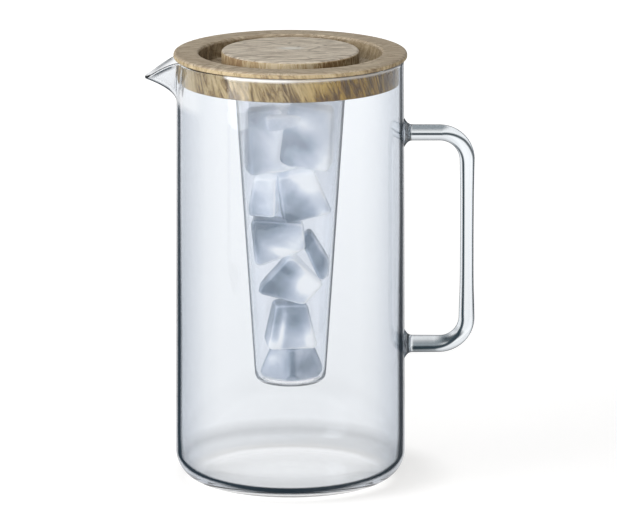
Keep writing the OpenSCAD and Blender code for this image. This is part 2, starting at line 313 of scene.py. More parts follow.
def wood_figure(name):
    """Wood figure: growth rings around a wandering pith, long fibres, pores, torn streaks and blotches."""
    group, given = new_group(
        name,
        -1200,
        {
            "Vector": None,
            "Ring width": 0.004,
            "Wander": 0.004,
            "Fibre scale": 900.0,
            "Fibre stretch": 0.05,
            "Turned vector": None,
            "Slant": 20.0,
            "Streak scale": 520.0,
        },
        ("Streaks", "Rings", "Fibres", "Pores", "Blotches"),
    )
    # The pith wanders, so the distance from it is bent by a soft noise
    soft = {"Vector": given["Vector"], "Scale": 22.0, "Detail": 2.0, "Roughness": 0.5}
    bend = add(group, "ShaderNodeTexNoise", (-1000, 200), soft).outputs["Color"]
    bend = add_vector(group, (-800, 200), "SUBTRACT", bend, (0.5, 0.5, 0.5))
    bend = add_vector(group, (-640, 200), "SCALE", bend, given["Wander"])
    bent = add_vector(group, (-480, 200), "ADD", given["Vector"], bend)
    # The fibres run along X, so rings are round in the YZ plane
    flat = add_vector(group, (-320, 200), "MULTIPLY", bent, (0.0, 1.0, 1.0))
    distance = add_vector(group, (-160, 200), "LENGTH", flat)
    turns = add_math(group, (0, 200), "DIVIDE", distance, given["Ring width"])
    saw = add_math(group, (160, 200), "FRACT", turns)
    # Each ring darkens slowly and ends sharply, as late wood does
    late = add_math(group, (320, 200), "POWER", saw, 2.2)
    early = add_range(group, (320, 40), saw, 0.92, 1.0, 1.0, 0.0)
    rings = add_math(group, (480, 200), "MULTIPLY", late, early)
    # Fibres: a noise that is stretched along X
    shape = add(group, "ShaderNodeCombineXYZ", (-800, -120), {0: given["Fibre stretch"], 1: 1.0, 2: 1.0})
    stretched = add_vector(group, (-640, -120), "MULTIPLY", bent, shape.outputs[0])
    fibres = add_noise(group, (-440, -120), stretched, given["Fibre scale"], 4.0, 0.6)
    # Pores: short dark dashes along the fibres
    longer = add_vector(group, (-640, -360), "MULTIPLY", stretched, (2.2, 1.0, 1.0))
    finer = add_math(group, (-640, -520), "MULTIPLY", given["Fibre scale"], 1.7)
    dashes = add_noise(group, (-440, -360), longer, finer, 2.0, 0.7)
    pores = add_range(group, (-240, -360), dashes, 0.62, 0.72)
    # Streaks: torn grain on a turned side, which climbs it at a slant
    split = add(group, "ShaderNodeSeparateXYZ", (-1000, -900), {0: given["Turned vector"]})
    twist = add_math(group, (-820, -900), "MULTIPLY", split.outputs["Z"], given["Slant"])
    leaning = add(
        group, "ShaderNodeVectorRotate", (-640, -900), {"Vector": given["Turned vector"], "Angle": twist},
        rotation_type="Z_AXIS",
    )
    tall = add_vector(group, (-440, -900), "MULTIPLY", leaning.outputs[0], (1.0, 1.0, 0.2))
    torn = add_noise(group, (-240, -900), tall, given["Streak scale"], 8.0, 0.7, 1.1)
    # Blotches: the slow change of tone over a board
    cloud = add_noise(group, (-440, -640), given["Vector"], 38.0, 3.0, 0.55)
    shown = {"Streaks": torn, "Rings": rings, "Fibres": fibres, "Pores": pores, "Blotches": cloud}
    add(group, "NodeGroupOutput", (900, 0), shown)
    return group


def glass_waves(name):
    """Faint waves and cords of hand-worked glass, as a height and a tone."""
    inputs = {"Vector": None, "Wave scale": 26.0, "Stretch": 0.35}
    group, given = new_group(name, -800, inputs, ("Height", "Tone"))
    shape = add(group, "ShaderNodeCombineXYZ", (-640, -160), {0: 1.0, 1: 1.0, 2: given["Stretch"]})
    drawn = add_vector(group, (-480, 0), "MULTIPLY", given["Vector"], shape.outputs[0])
    waves = add_noise(group, (-280, 80), drawn, given["Wave scale"], 1.0, 0.4)
    tone = add_noise(group, (-280, -160), given["Vector"], 11.0)
    add(group, "NodeGroupOutput", (400, 0), {"Height": waves, "Tone": tone})
    return group


def edge_line(name):
    """Where glass shows its dark line: at one facing along its edges, and where a streak is drawn in it."""
    group, given = new_group(
        name,
        -700,
        {"Facing": 0.0, "Line at": 0.8, "Line width": 0.05, "Strength": 1.0, "Streak": 0.0},
        ("Mask", "Line"),
    )
    off = add_math(group, (-500, 0), "SUBTRACT", given["Facing"], given["Line at"])
    off = add_math(group, (-340, 0), "ABSOLUTE", off)
    share = add_math(group, (-180, 0), "DIVIDE", off, given["Line width"])
    soft = add_range(group, (-20, 0), share, 1.0, 0.25, interpolation_type="SMOOTHSTEP")
    line = add_math(group, (160, 0), "MULTIPLY", soft, given["Strength"])
    mask = add_math(group, (320, 0), "MAXIMUM", line, given["Streak"])
    clear = add_math(group, (160, -180), "SUBTRACT", 1.0, given["Streak"])
    alone = add_math(group, (320, -180), "MULTIPLY", line, clear)
    add(group, "NodeGroupOutput", (500, 0), {"Mask": mask, "Line": alone})
    return group


def place_group(tree, place, name, build, inputs):
    """Puts the shared node group of this name in a material. It is built when it is first used."""
    shared = bpy.data.node_groups.get(name) or build(name)
    return add(tree, "ShaderNodeGroup", place, inputs, node_tree=shared).outputs


def let_light_through(tree, shader, surface, tint):
    """Lets lamp light and bounced light pass the glass, so that what it holds is lit."""
    path = add(tree, "ShaderNodeLightPath", (420, 320)).outputs
    either = add_math(tree, (600, 320), "MAXIMUM", path["Is Shadow Ray"], path["Is Diffuse Ray"])
    clear = add(tree, "ShaderNodeBsdfTransparent", (600, 120), {"Color": tint})
    tree.links.new(mix_shader(tree, (760, 60), either, shader, clear.outputs[0]), surface)


def clear_glass(
    name, plain, stops, line, shadow_tint, ior=1.5, bump=0.02, wave_scale=26.0,
    bright_colour=(0.97, 0.97, 0.96), haze=None,
):
    """Glass that is pale where it is looked through and darker where its wall is seen edge on.

    stops tint the wall by how far it turns away, where the mark edge_on says so. line is the colour of the
    dark line that is painted along its edges as a reflection, and of its streaks, which are painted light,
    shade and reflections, apart from the core's rime. They take bright_colour where the mark bright says
    so. The mark pale takes the tint away, and haze names the mark that roughens it.
    """
    material, tree, surface = new_material(name, 1600)
    vector = object_place(tree, (-1100, -200))
    drawn = {"Vector": vector, "Wave scale": wave_scale, "Stretch": 0.35}
    waves = place_group(tree, (-900, -200), "Glass waves", glass_waves, drawn)
    facing = add(tree, "ShaderNodeLayerWeight", (-900, 120), {"Blend": 0.5}).outputs["Facing"]
    tone = add_range(tree, (-700, -60), waves["Tone"], 0.0, 1.0, -0.02, 0.02)
    level = add_math(tree, (-520, 60), "ADD", facing, tone)
    edge_on = read_mark(tree, (-340, 360), "edge_on")
    # Where painted light, shade and reflections lie on the glass, and on the core its rime
    painted_light_and_rime = read_mark(tree, (-340, 540), "painted_light_and_rime")
    drawn_line = {
        "Facing": level,
        "Line at": read_mark(tree, (-340, 720), "line_at"),
        "Line width": read_mark(tree, (-340, 900), "line_width"),
        "Strength": edge_on,
        "Streak": painted_light_and_rime,
    }
    mask = place_group(tree, (120, 560), "Edge line", edge_line, drawn_line)
    # Bright streaks stay bright, and the line keeps its own colour where it runs without one
    free = add_math(tree, (-200, 1200), "SUBTRACT", 1.0, mask["Line"])
    bright = add_math(tree, (-60, 1080), "MULTIPLY", read_mark(tree, (-340, 1080), "bright"), free)
    painted_line_colour = mix_colour(tree, (-60, 980), bright, line, bright_colour)
    colour = mix_colour(tree, (-60, 240), edge_on, plain, add_ramp(tree, (-340, 120), level, stops))
    colour = mix_colour(tree, (120, 240), painted_light_and_rime, colour, painted_line_colour)
    colour = mix_colour(tree, (280, 240), read_mark(tree, (120, 420), "pale"), colour, (1.0, 1.0, 1.0))
    glass_look = {
        "Base Color": colour,
        "Normal": add_bump(tree, (-340, -260), waves["Height"], bump, 0.001),
        "Roughness": read_mark(tree, (120, -260), haze) if haze else 0.0,
        "IOR": ior,
        "Transmission Weight": 1.0,
    }
    glass = add_principled(tree, (400, 0), glass_look)
    # The painted dark line, which stands for a reflection, lies on the side that is seen from outside
    side = add(tree, "ShaderNodeNewGeometry", (120, 800)).outputs["Backfacing"]
    outside = add_math(tree, (300, 800), "SUBTRACT", 1.0, side)
    shown = add_math(tree, (480, 640), "MULTIPLY", mask["Mask"], outside)
    painted_line_look = {"Base Color": painted_line_colour, "Roughness": 0.6, "Specular IOR Level": 0.0}
    painted_line = add_principled(tree, (660, 700), painted_line_look)
    let_light_through(tree, mix_shader(tree, (960, 100), shown, glass, painted_line), surface, shadow_tint)
    return material


def turned_wood(name, tones, side_tones, pith, turn, grain, knot=None):
    """Oiled wood. tones and side_tones are (light, mid, dark, stain) of its faces and of its turned sides.

    pith and turn (degrees) place the pith, and grain holds the values of the figure and how strongly its
    rings, fibres and pores show. The mark side says where the torn grain of a turned side shows, and gold
    where the torn grain is honey brown; a third mark says where shade is painted on in dark streaks.
    """
    light, mid, dark, stain = tones
    side_light, side_mid, side_dark, side_stain = side_tones
    material, tree, surface = new_material(name, 1300)
    vector = object_place(tree, (-1500, 0))
    board_place = {"Vector": vector, "Location": pith, "Rotation": [math.radians(a) for a in turn]}
    board = add(tree, "ShaderNodeMapping", (-1300, 0), board_place, vector_type="TEXTURE").outputs[0]
    inputs = {"Vector": board, "Turned vector": vector, **grain["figure"]}
    figure = place_group(tree, (-1100, 0), "Wood figure", wood_figure, inputs)
    cloud = add_range(tree, (-860, 300), figure["Blotches"], 0.32, 0.68)
    face = mix_colour(tree, (-640, 300), cloud, mid, light)
    ringed = add_math(tree, (-640, 60), "MULTIPLY", figure["Rings"], grain["rings"])
    face = mix_colour(tree, (-440, 260), ringed, face, dark)
    thread = add_range(tree, (-640, -120), figure["Fibres"], 0.44, 0.59)
    threaded = add_math(tree, (-440, -60), "MULTIPLY", thread, grain["fibres"])
    face = mix_colour(tree, (-260, 220), threaded, face, dark)
    spotted = add_math(tree, (-260, -60), "MULTIPLY", figure["Pores"], grain["pores"])
    face = mix_colour(tree, (-80, 200), spotted, face, stain)
    height = add_math(tree, (-260, -340), "SUBTRACT", figure["Fibres"], figure["Pores"])
    if knot:
        face, height = knotted_face(tree, vector, figure["Blotches"], face, height, tones, knot)
    # Turned sides: torn grain from pale to stained
    warm = add_math(tree, (-640, -700), "MULTIPLY", cloud, 0.22)
    warm = add_math(tree, (-460, -700), "SUBTRACT", figure["Streaks"], warm)
    warm = add_math(tree, (-300, -560), "ADD", warm, 0.11)
    torn_stops = [(0.37, side_stain), (0.45, side_dark), (0.52, side_mid), (0.61, side_light)]
    torn = add_ramp(tree, (-260, -700), warm, torn_stops)
    gold = read_mark(tree, (-100, -500), "gold")
    torn = mix_colour(tree, (60, -700), gold, torn, (1.0, 0.8, 0.16), "MULTIPLY")
    side = read_mark(tree, (300, -500), "side")
    colour = mix_colour(tree, (520, 160), side, face, torn)
    # Painted shade runs into the torn grain in streaks
    streaked = add_range(tree, (300, -860), figure["Streaks"], 0.44, 0.58, 1.15, 0.75)
    painted_shade = add_math(tree, (520, -680), "MULTIPLY", read_mark(tree, (300, -680), "painted_shade"), streaked)
    colour = mix_colour(tree, (700, 160), painted_shade, colour, (0.06, 0.03, 0.003))
    rises = mix_value(tree, (520, -300), side, height, figure["Streaks"])
    look = {
        "Base Color": colour,
        "Roughness": add_range(tree, (700, -60), figure["Fibres"], 0.3, 0.7, 0.5, 0.7),
        "Normal": add_bump(tree, (700, -300), rises, 0.4, 0.0005),
        "IOR": 1.45,
        "Specular IOR Level": 0.3,
    }
    tree.links.new(add_principled(tree, (960, 0), look), surface)
    return material


def knotted_face(tree, vector, blotches, face, height, tones, knot):
    """Grain that flows round a pale knot, with checks in it. knot is (x, y, size) in metres."""
    light, mid, dark, stain = tones
    knot_x, knot_y, knot_size = knot
    away = add_vector(tree, (-1500, -1100), "SUBTRACT", vector, (knot_x, knot_y, 0.0))
    flat = add_vector(tree, (-1320, -1100), "MULTIPLY", away, (0.55, 1.0, 0.0))
    near = add_vector(tree, (-1140, -1100), "LENGTH", flat)
    near = add_math(tree, (-960, -1100), "DIVIDE", near, knot_size)
    near = add_math(tree, (-800, -1100), "POWER", near, 2.0)
    near = add_math(tree, (-640, -1100), "MULTIPLY", near, -1.0)
    near = add_math(tree, (-480, -1100), "EXPONENT", near)
    # The grain parts around the knot and wanders away from it
    drift = add_noise(tree, (-1320, -1400), vector, 42.0)
    drift = add_math(tree, (-1100, -1400), "SUBTRACT", drift, 0.5)
    drift = add_math(tree, (-940, -1400), "MULTIPLY", drift, 0.016)
    parts = add(tree, "ShaderNodeSeparateXYZ", (-1140, -1250), {0: away}).outputs
    squeeze = add_math(tree, (-960, -1250), "MULTIPLY", near, -0.72)
    squeeze = add_math(tree, (-800, -1250), "ADD", squeeze, 1.0)
    across = add_math(tree, (-640, -1250), "MULTIPLY", parts["Y"], squeeze)
    across = add_math(tree, (-480, -1250), "ADD", across, drift)
    along = add_math(tree, (-480, -1400), "MULTIPLY", parts["X"], 0.13)
    flow = add(tree, "ShaderNodeCombineXYZ", (-320, -1250), {0: along, 1: across}).outputs[0]
    grain = add_noise(tree, (-160, -1250), flow, 430.0, 5.0, 0.62)
    thread = add_range(tree, (20, -1250), grain, 0.46, 0.62, 0.0, 0.95)
    face = mix_colour(tree, (200, -1000), 0.65, face, light)
    face = mix_colour(tree, (360, -1000), thread, face, dark)
    # Checks: dark cracks beside the knot, along the grain
    wide = add_vector(tree, (-320, -1560), "MULTIPLY", flow, (2.6, 1.0, 1.0))
    cracked = {"Vector": wide, "Scale": 170.0, "Randomness": 1.0}
    cells = add(tree, "ShaderNodeTexVoronoi", (-160, -1560), cracked, feature="DISTANCE_TO_EDGE")
    crack = add_range(tree, (20, -1560), cells.outputs["Distance"], 0.0, 0.07, 1.0, 0.0)
    patch = add_range(tree, (20, -1800), blotches, 0.42, 0.6)
    deep = add_math(tree, (200, -1600), "MULTIPLY", crack, patch)
    soft = add_math(tree, (360, -1600), "MULTIPLY", deep, 0.5)
    face = mix_colour(tree, (520, -1000), soft, face, stain)
    pale = add_range(tree, (20, -900), near, 0.62, 0.95, 0.0, 0.8)
    face = mix_colour(tree, (680, -1000), pale, face, (0.74, 0.72, 0.66))
    height = add_math(tree, (360, -1300), "SUBTRACT", height, deep)
    height = add_math(tree, (520, -1300), "SUBTRACT", height, thread)
    return face, height


def silicone_material():
    """Milky silicone with a soft skin."""
    material, tree, surface = new_material("Milky silicone")
    vector = object_place(tree, (-800, 0))
    cloud = add_noise(tree, (-600, 60), vector, 140.0, 3.0)
    skin = add_noise(tree, (-600, -200), vector, 1800.0)
    milk = [(0.3, (0.80, 0.80, 0.77)), (0.7, (0.88, 0.88, 0.86))]
    look = {
        "Base Color": add_ramp(tree, (-380, 120), cloud, milk),
        "Normal": add_bump(tree, (-380, -200), skin, 0.15, 0.0002),
        "Roughness": 0.48,
        "IOR": 1.41,
        "Subsurface Weight": 0.2,
        "Subsurface Scale": 0.002,
    }
    tree.links.new(add_principled(tree, (0, 0), look), surface)
    return material


def ice_material():
    """Cloudy ice: slate in its depth, white where it is frosted, along its edges and in its clouds; part of
    that slate and white is painted shade and painted highlight, and the ice has a painted glow.
    """
    material, tree, surface = new_material("Cloudy ice")
    vector = object_place(tree, (-1100, 0))
    cloud = add_noise(tree, (-900, 0), vector, 70.0, 3.0, 0.55, 0.4)
    drift = add_range(tree, (-700, 0), cloud, 0.3, 0.7, -0.2, 0.2)
    mixed = add_math(tree, (-500, 160), "ADD", read_mark(tree, (-900, 260), "tone"), drift)
    # White along the edges, partly frost and partly painted highlight
    frost = add_math(tree, (-500, -120), "MULTIPLY", read_mark(tree, (-900, -260), "edge"), 0.55)
    level = add_math(tree, (-320, 60), "ADD", mixed, frost)
    slate_to_white = [
        (0.0, (0.12, 0.175, 0.24)),
        (0.3, (0.33, 0.40, 0.49)),
        (0.6, (0.60, 0.65, 0.73)),
        (0.85, (0.84, 0.87, 0.90)),
        (1.0, (0.99, 0.99, 0.98)),
    ]
    colour = add_ramp(tree, (-140, 120), level, slate_to_white)
    melt = add_noise(tree, (-320, -360), vector, 240.0)
    look = {
        "Base Color": colour,
        # Painted glow: the ice gives off a little light of its own colour though it is no lamp
        "Emission Color": colour,
        "Emission Strength": 0.24,
        "Roughness": add_range(tree, (-140, -160), level, 0.0, 1.0, 0.34, 0.55),
        "Normal": add_bump(tree, (-100, -360), melt, 0.1, 0.0006),
        "IOR": 1.31,
        "Transmission Weight": 0.3,
    }
    tree.links.new(add_principled(tree, (300, 0), look), surface)
    return material


# Settings that a user would change


def length(name, description, default, low, high):
    """A setting in metres, between low and high."""
    return bpy.props.FloatProperty(
        name=name, description=description, default=default, min=low, max=high,
        subtype="DISTANCE", unit="LENGTH",
    )


def tone(name, description, default):
    """A setting that is a colour."""
    return bpy.props.FloatVectorProperty(
        name=name, description=description, default=default, size=3, min=0.0, max=1.0, subtype="COLOR"
    )


def power(name, description, default, high):
    """A setting for a level of light, from 0 to high."""
    return bpy.props.FloatProperty(name=name, description=description, default=default, min=0.0, max=high)


class PitcherJugSettings(bpy.types.PropertyGroup):
    lip_half_width: length(
        "Lip half width", "Half of the lip's width where it leaves the rim", 17.3 * MM, 0.01, 0.03
    )
    lip_drop: length("Lip drop", "How far below the rim the lip leaves the wall", 23.3 * MM, 0.01, 0.04)
    lip_dip: length("Lip dip", "How far the tip of the lip lies below the rim", 10.2 * MM, 0.0, 0.02)
    wall: length("Wall", "Thickness of the glass wall", 2.1 * MM, 0.001, 0.005)
    floor: length("Floor", "Thickness of the glass floor", 4 * MM, 0.002, 0.01)
    tint: tone("Glass tint", "Colour of the glass where it is looked through", (0.898, 0.916, 0.937))
    edge_tint: tone(
        "Edge line", "Colour of the dark line along the edges of the glass", (0.024, 0.036, 0.048)
    )


class PitcherHandleSettings(bpy.types.PropertyGroup):
    grip_diameter: length(
        "Grip diameter", "Thickness of the rod in the middle of the grip", 7.2 * MM, 0.004, 0.012
    )
    bend_radius: length("Bend radius", "Radius of the two bends at the rod's middle", 15 * MM, 0.008, 0.03)
    # Colour of the dark reflections that are painted along the rod
    painted_light_and_rime: tone("Streak colour", "Dark line drawn into the rod as it was bent", (0.03, 0.048, 0.06))


class PitcherWoodSettings(bpy.types.PropertyGroup):
    light: tone("Light wood", "Palest tone of the faces", (0.62, 0.53, 0.392))
    mid: tone("Wood", "Main tone of the faces", (0.515, 0.427, 0.31))
    dark: tone("Late wood", "Tone of the late wood in each ring", (0.30, 0.23, 0.155))
    stain: tone("Pores", "Tone of the pores, checks and spots", (0.10, 0.07, 0.045))
    side_light: tone("Light side", "Palest tone of the turned sides", (0.61, 0.478, 0.268))
    side_mid: tone("Side", "Main tone of the turned sides", (0.43, 0.32, 0.148))
    side_dark: tone("Torn side", "Tone of the torn grain on the turned sides", (0.235, 0.148, 0.052))
    side_stain: tone("Stained side", "Darkest tone of the turned sides", (0.105, 0.06, 0.02))


class PitcherIceSettings(bpy.types.PropertyGroup):
    voxel: length("Mesh size", "Size of the mesh that the ice is melted on", 0.8 * MM, 0.0004, 0.002)
    melt: length("Melt", "How deep the melted hollows of the ice are", 0.3 * MM, 0.0, 0.002)


class PitcherStageSettings(bpy.types.PropertyGroup):
    ambient: power("Ambient light", "Level of the light that comes from all around", 0.44, 1.5)
    key_power: power("Key lamp", "Power of the main lamp on the left", 7.5, 100.0)
    front_power: power("Front lamp", "Power of the wide soft lamp above the camera", 21.0, 100.0)
    strip_power: power("Strip lamp", "Power of the tall lamp at the front left", 2.2, 50.0)


# Jug


# Radii of the outside at the foot and at the mouth, and of the bore
FOOT_R = 62.5 * MM
MOUTH_R = 61.45 * MM
BORE_R = 59.35 * MM
# Rounds of the heel and of the floor's inner corner
HEEL_R = 16 * MM
FLOOR_CORNER_R = 10 * MM
# Hollow under the foot, and the radius up to which the foot is flat around it
KICK_R = 38 * MM
KICK_H = 0.22 * MM
REST_R = 42 * MM
# How much thicker the wall is at the foot, how much thinner in the lip, and how far past the foot's
# radius that is reached
FOOT_EXTRA = 1.05 * MM
LIP_THINNER = 0.45 * MM
LIP_THIN_REACH = 12 * MM
# The lip's round nose: its radius, its turn (degrees) and its share of the way to the wall
NOSE_R = 6.4 * MM
NOSE_TURN = 66
NOSE_SHARE = 0.3
# How far inside the frame's box the outside ends at the tip, and how far below the lip the finer rows
# begin
TIP_INSIDE = 1.9 * MM
LIP_MARGIN = 8 * MM
# Tint that the jug and its handle give to light that passes them
GLASS_SHADOW = (0.87, 0.866, 0.86)


def lip_rim(t, half_w, reach):
    """Plan of the lip's rim for t from 0 at the tip to 1 at the wall.

    It is given as the distance from the axis along the lip, and to the side.
    """
    nose_turn = math.radians(NOSE_TURN)
    middle = MOUTH_R + reach - NOSE_R
    if t <= NOSE_SHARE:
        a = nose_turn * t / NOSE_SHARE
        return middle + NOSE_R * math.cos(a), NOSE_R * math.sin(a)
    # A curve from the nose to the wall, with its pulls at both ends in millimetres
    nose_pull, wall_pull = 6.5, 4.5
    s = (t - NOSE_SHARE) / (1 - NOSE_SHARE)
    start = Vector((middle + NOSE_R * math.cos(nose_turn), NOSE_R * math.sin(nose_turn)))
    end = Vector((math.sqrt(MOUTH_R**2 - half_w**2), half_w))
    way_in = Vector((-math.sin(nose_turn), math.cos(nose_turn))) * nose_pull * MM
    way_out = Vector((half_w, -end.x)) / MOUTH_R * wall_pull * MM
    points = (start, start + way_in, end + way_out, end)
    weights = ((1 - s) ** 3, 3 * s * (1 - s) ** 2, 3 * s**2 * (1 - s), s**3)
    p = sum((q * w for q, w in zip(points, weights)), Vector((0, 0)))
    return p.x, p.y


def jug_wall(settings):
    """Outer surface rows from the middle of the foot to the rim, as an array (row, column, xyz)."""
    half_w, drop, dip = settings.lip_half_width, settings.lip_drop, settings.lip_dip
    reach = -JUG_LOW.x - MOUTH_R - TIP_INSIDE
    top = JUG_HIGH.z - settings.wall / 2
    lip_z = top - drop
    low = lip_z - LIP_MARGIN
    lean = (MOUTH_R - FOOT_R) / top
    kick_rows, heel_rows, wall_rows, lip_rows = 20, 20, 16, 34
    profile = [
        (KICK_R * k / kick_rows, KICK_H * (0.5 + 0.5 * math.cos(math.pi * k / kick_rows)))
        for k in range(kick_rows)
    ]
    profile += [(KICK_R, 0.0), (REST_R, 0.0)]
    heel_x = FOOT_R + lean * HEEL_R - HEEL_R * math.sqrt(1 + lean**2)
    profile += arc((heel_x, HEEL_R), HEEL_R, -90, 0, heel_rows)
    heights = [HEEL_R + (low - HEEL_R) * k / wall_rows for k in range(1, wall_rows + 1)]
    heights += [low + (top - low) * k / lip_rows for k in range(1, lip_rows + 1)]
    profile += [(FOOT_R + lean * z, z) for z in heights]
    # Columns: even shares of the lip, then even shares of the rest
    half_turn = math.asin(half_w / MOUTH_R)
    lip_columns, rest_columns = 44, 152
    turns = [half_turn * (k / lip_columns) for k in range(-lip_columns, lip_columns)]
    turns += [half_turn + (2 * math.pi - 2 * half_turn) * k / rest_columns for k in range(rest_columns)]
    # Curves of the lip: its keel, how it leaves the wall outwards and sideways, and its dip
    keel_power, pull_power, side_power, dip_power = 2.2, 2.05, 1.2, 1.2
    grid = np.zeros((len(profile), len(turns), 3))
    for j, turn in enumerate(turns):
        t = turn / half_turn
        for i, (r, z) in enumerate(profile):
            u, side = r * math.cos(turn), r * math.sin(turn)
            if abs(t) < 1 and z > lip_z:
                rim_u, rim_side = lip_rim(abs(t), half_w, reach)
                rim_side = math.copysign(rim_side, t) if t else 0.0
                beyond = rim_u - math.sqrt(MOUTH_R**2 - rim_side**2)
                start = top - drop * (1 - abs(t) ** keel_power)
                up = clamped((z - start) / (top - start))
                side = side + (rim_side - side) * up**side_power
                u = math.sqrt(r**2 - side**2) + beyond * up**pull_power
                z = z - dip * (beyond / reach) ** dip_power * up
            grid[i, j] = (-u, side, z)
    return grid


def surface_normals(grid):
    """Outward normals of a grid of rows that closes around its columns."""
    along = np.gradient(grid, axis=0)
    around = np.roll(grid, -1, axis=1) - np.roll(grid, 1, axis=1)
    normals = np.cross(along, around)
    size = np.linalg.norm(normals, axis=2, keepdims=True)
    normals = normals / np.maximum(size, 1e-12)
    outward = grid * np.array([1.0, 1.0, 0.0])
    flip = np.sum(normals * outward, axis=2, keepdims=True) < 0
    return np.where(flip, -normals, normals)


def jug_mesh(settings):
    """The whole jug as one closed surface: outside, round rim and inside."""
    outer = jug_wall(settings)
    floor = settings.floor
    columns = outer.shape[1]
    # The wall rows of the inside are the outside's, moved in along the normal, from above the heel
    above_heel = 28 * MM
    wall = outer[int(np.argmax(outer[:, columns // 2, 2] > above_heel)):]
    beyond = np.linalg.norm(wall[:, :, :2], axis=2) - FOOT_R
    thin = np.clip(beyond / LIP_THIN_REACH, 0, 1)[..., None]
    height_share = np.clip((wall[:, :, 2:3] / JUG_HIGH.z), 0, 1)
    thickness = settings.wall + FOOT_EXTRA * (1 - height_share) - LIP_THINNER * thin
    inner = wall - surface_normals(wall) * thickness
    # Below them the inside is turned: floor, round corner and the start of the wall
    flat_share, flat_rows, corner_rows = 0.8, 9, 14
    section = [(0.0, floor)] + [(BORE_R * k / flat_rows * flat_share, floor) for k in range(1, flat_rows)]
    corner = (BORE_R - FLOOR_CORNER_R, floor + FLOOR_CORNER_R)
    section += arc(corner, FLOOR_CORNER_R, -90, 0, corner_rows)
    section += [(BORE_R, 19 * MM), (BORE_R, 24 * MM)]
    angles = np.arctan2(wall[0, :, 1], -wall[0, :, 0])
    low_inner = np.zeros((len(section), columns, 3))
    for i, (r, z) in enumerate(section):
        low_inner[i, :, 0] = -r * np.cos(angles)
        low_inner[i, :, 1] = r * np.sin(angles)
        low_inner[i, :, 2] = z
    # Round rim between the last outer row and the last inner row
    middle = (outer[-1] + inner[-1]) / 2
    half = (outer[-1] - inner[-1]) / 2
    upward = (outer[-1] - outer[-2]) / np.linalg.norm(outer[-1] - outer[-2], axis=1, keepdims=True)
    size = np.linalg.norm(half, axis=1, keepdims=True)
    rim = [
        middle + half * math.cos(a) + upward * size * math.sin(a)
        for a in np.linspace(0, math.pi, 11)[1:-1]
    ]
    rows = list(outer) + rim + list(inner[::-1]) + list(low_inner[::-1])
    points = np.concatenate(rows)
    marks = jug_marks(points, columns, len(outer), len(rim))
    faces = []
    for i in range(len(rows) - 1):
        here, above = i * columns, (i + 1) * columns
        for j in range(columns):
            k = (j + 1) % columns
            faces.append((here + j, here + k, above + k, above + j))
    # The two poles are rings of equal points, which are merged into one
    return mesh_object("jug", points, faces, marks)


def jug_marks(points, columns, outer_rows, rim_rows):
    """Numbers for the glass: where its painted dark edge line lies, how wide it is, where a highlight is
    painted on its rim, and where dark lines and shade are painted.
    """
    row = np.arange(len(points)) // columns
    x, y, z = points.T / MM
    foot_r = FOOT_R / MM
    right = np.clip(x / foot_r, 0, 1)
    left = np.clip(x / foot_r, -1, 0)
    outside = (row < outer_rows).astype(float)
    on_rim = (row >= outer_rows) & (row < outer_rows + rim_rows // 2 + 1)
    radius = np.hypot(x, y)
    on_lip = np.clip((radius - 62.6) / 3.0, 0, 1)
    edge_on = np.interp(z, [0, 2, 3.4, 4.6, 90, 232], [0, 0.2, 0.6, 1, 1, 0.88]) * outside
    edge_on = np.where(on_rim, 0.5, edge_on)
    # The line climbs from the middle of the heel at the front into the wall's edge at the sides
    line_at = np.interp(
        z,
        [0, 4.9, 5.8, 7.8, 9.2, 11.2, 14.8, 18, 90, 150, 232],
        [0.35, 0.35, 0.35, 0.35, 0.5, 0.6, 0.73, 0.76, 0.76, 0.785, 0.79],
    )
    line_at = line_at - 0.015 * left * (1 - on_lip)
    line_at = line_at * (1 - on_lip) + 0.74 * on_lip
    width = np.interp(
        z,
        [0, 6.75, 8.25, 11.2, 14.8, 18, 90, 150, 232],
        [0.28, 0.28, 0.23, 0.17, 0.14, 0.12, 0.115, 0.1, 0.085],
    )
    width = width * (1 + 0.1 * right)
    width = width * (1 - on_lip) + 0.36 * on_lip
    edge_on = edge_on * (1 - 0.07 * right)
    # Beside the lip the wall runs into it and has no line of its own
    beside = np.clip((z - 207) / 5, 0, 1) * np.clip((-x - 45) / 6, 0, 1) * (1 - on_lip)
    edge_on = edge_on * (1 - 0.85 * beside)
    # A highlight is painted on the rim in arcs around the mouth (degrees), and a dark line is painted along
    # the lip
    arcs = np.interp(
        np.degrees(np.arctan2(x, -y)),
        [-180, -120, -90, -60, -36, -33, -3, 3, 40, 72, 78, 120, 180],
        [0.5, 0.2, 0.4, 0, 0, 1, 1, 0.6, 0.45, 0.6, 0, 0.3, 0.5],
    )
    top_row = row == outer_rows - 1
    next_row = row == outer_rows - 2
    painted_highlight = arcs * (on_rim + top_row * 0.9 + next_row * 0.25) * (1 - on_lip)
    rim_line = (top_row * 0.95 + next_row * 0.35) * on_lip * np.interp(radius, [72, 76], [1, 0.35])
    on_floor = np.clip((56 - radius) / 4, 0, 1) * np.clip((9 - z) / 3, 0, 1)
    # Painted shade: a soft dark band in the floor's inner corner, higher, thinner and weaker at the back
    behind = np.clip(0.5 + y / 40, 0, 1)
    band = np.exp(-(((z - 10.2 - 1.9 * behind) / (5.6 - 2.2 * behind)) ** 2)) * (0.5 - 0.29 * behind)
    band = band * (radius > 54) * (row > outer_rows + rim_rows)
    return {
        "edge_on": edge_on,
        "line_at": line_at,
        "line_width": width,
        "pale": np.maximum(on_floor, outside * np.clip((4.2 - z) / 1.2, 0, 1)),
        "painted_light_and_rime": np.clip(painted_highlight * 0.95 + rim_line + band, 0, 1),
        "bright": np.clip(painted_highlight * 4, 0, 1),
    }


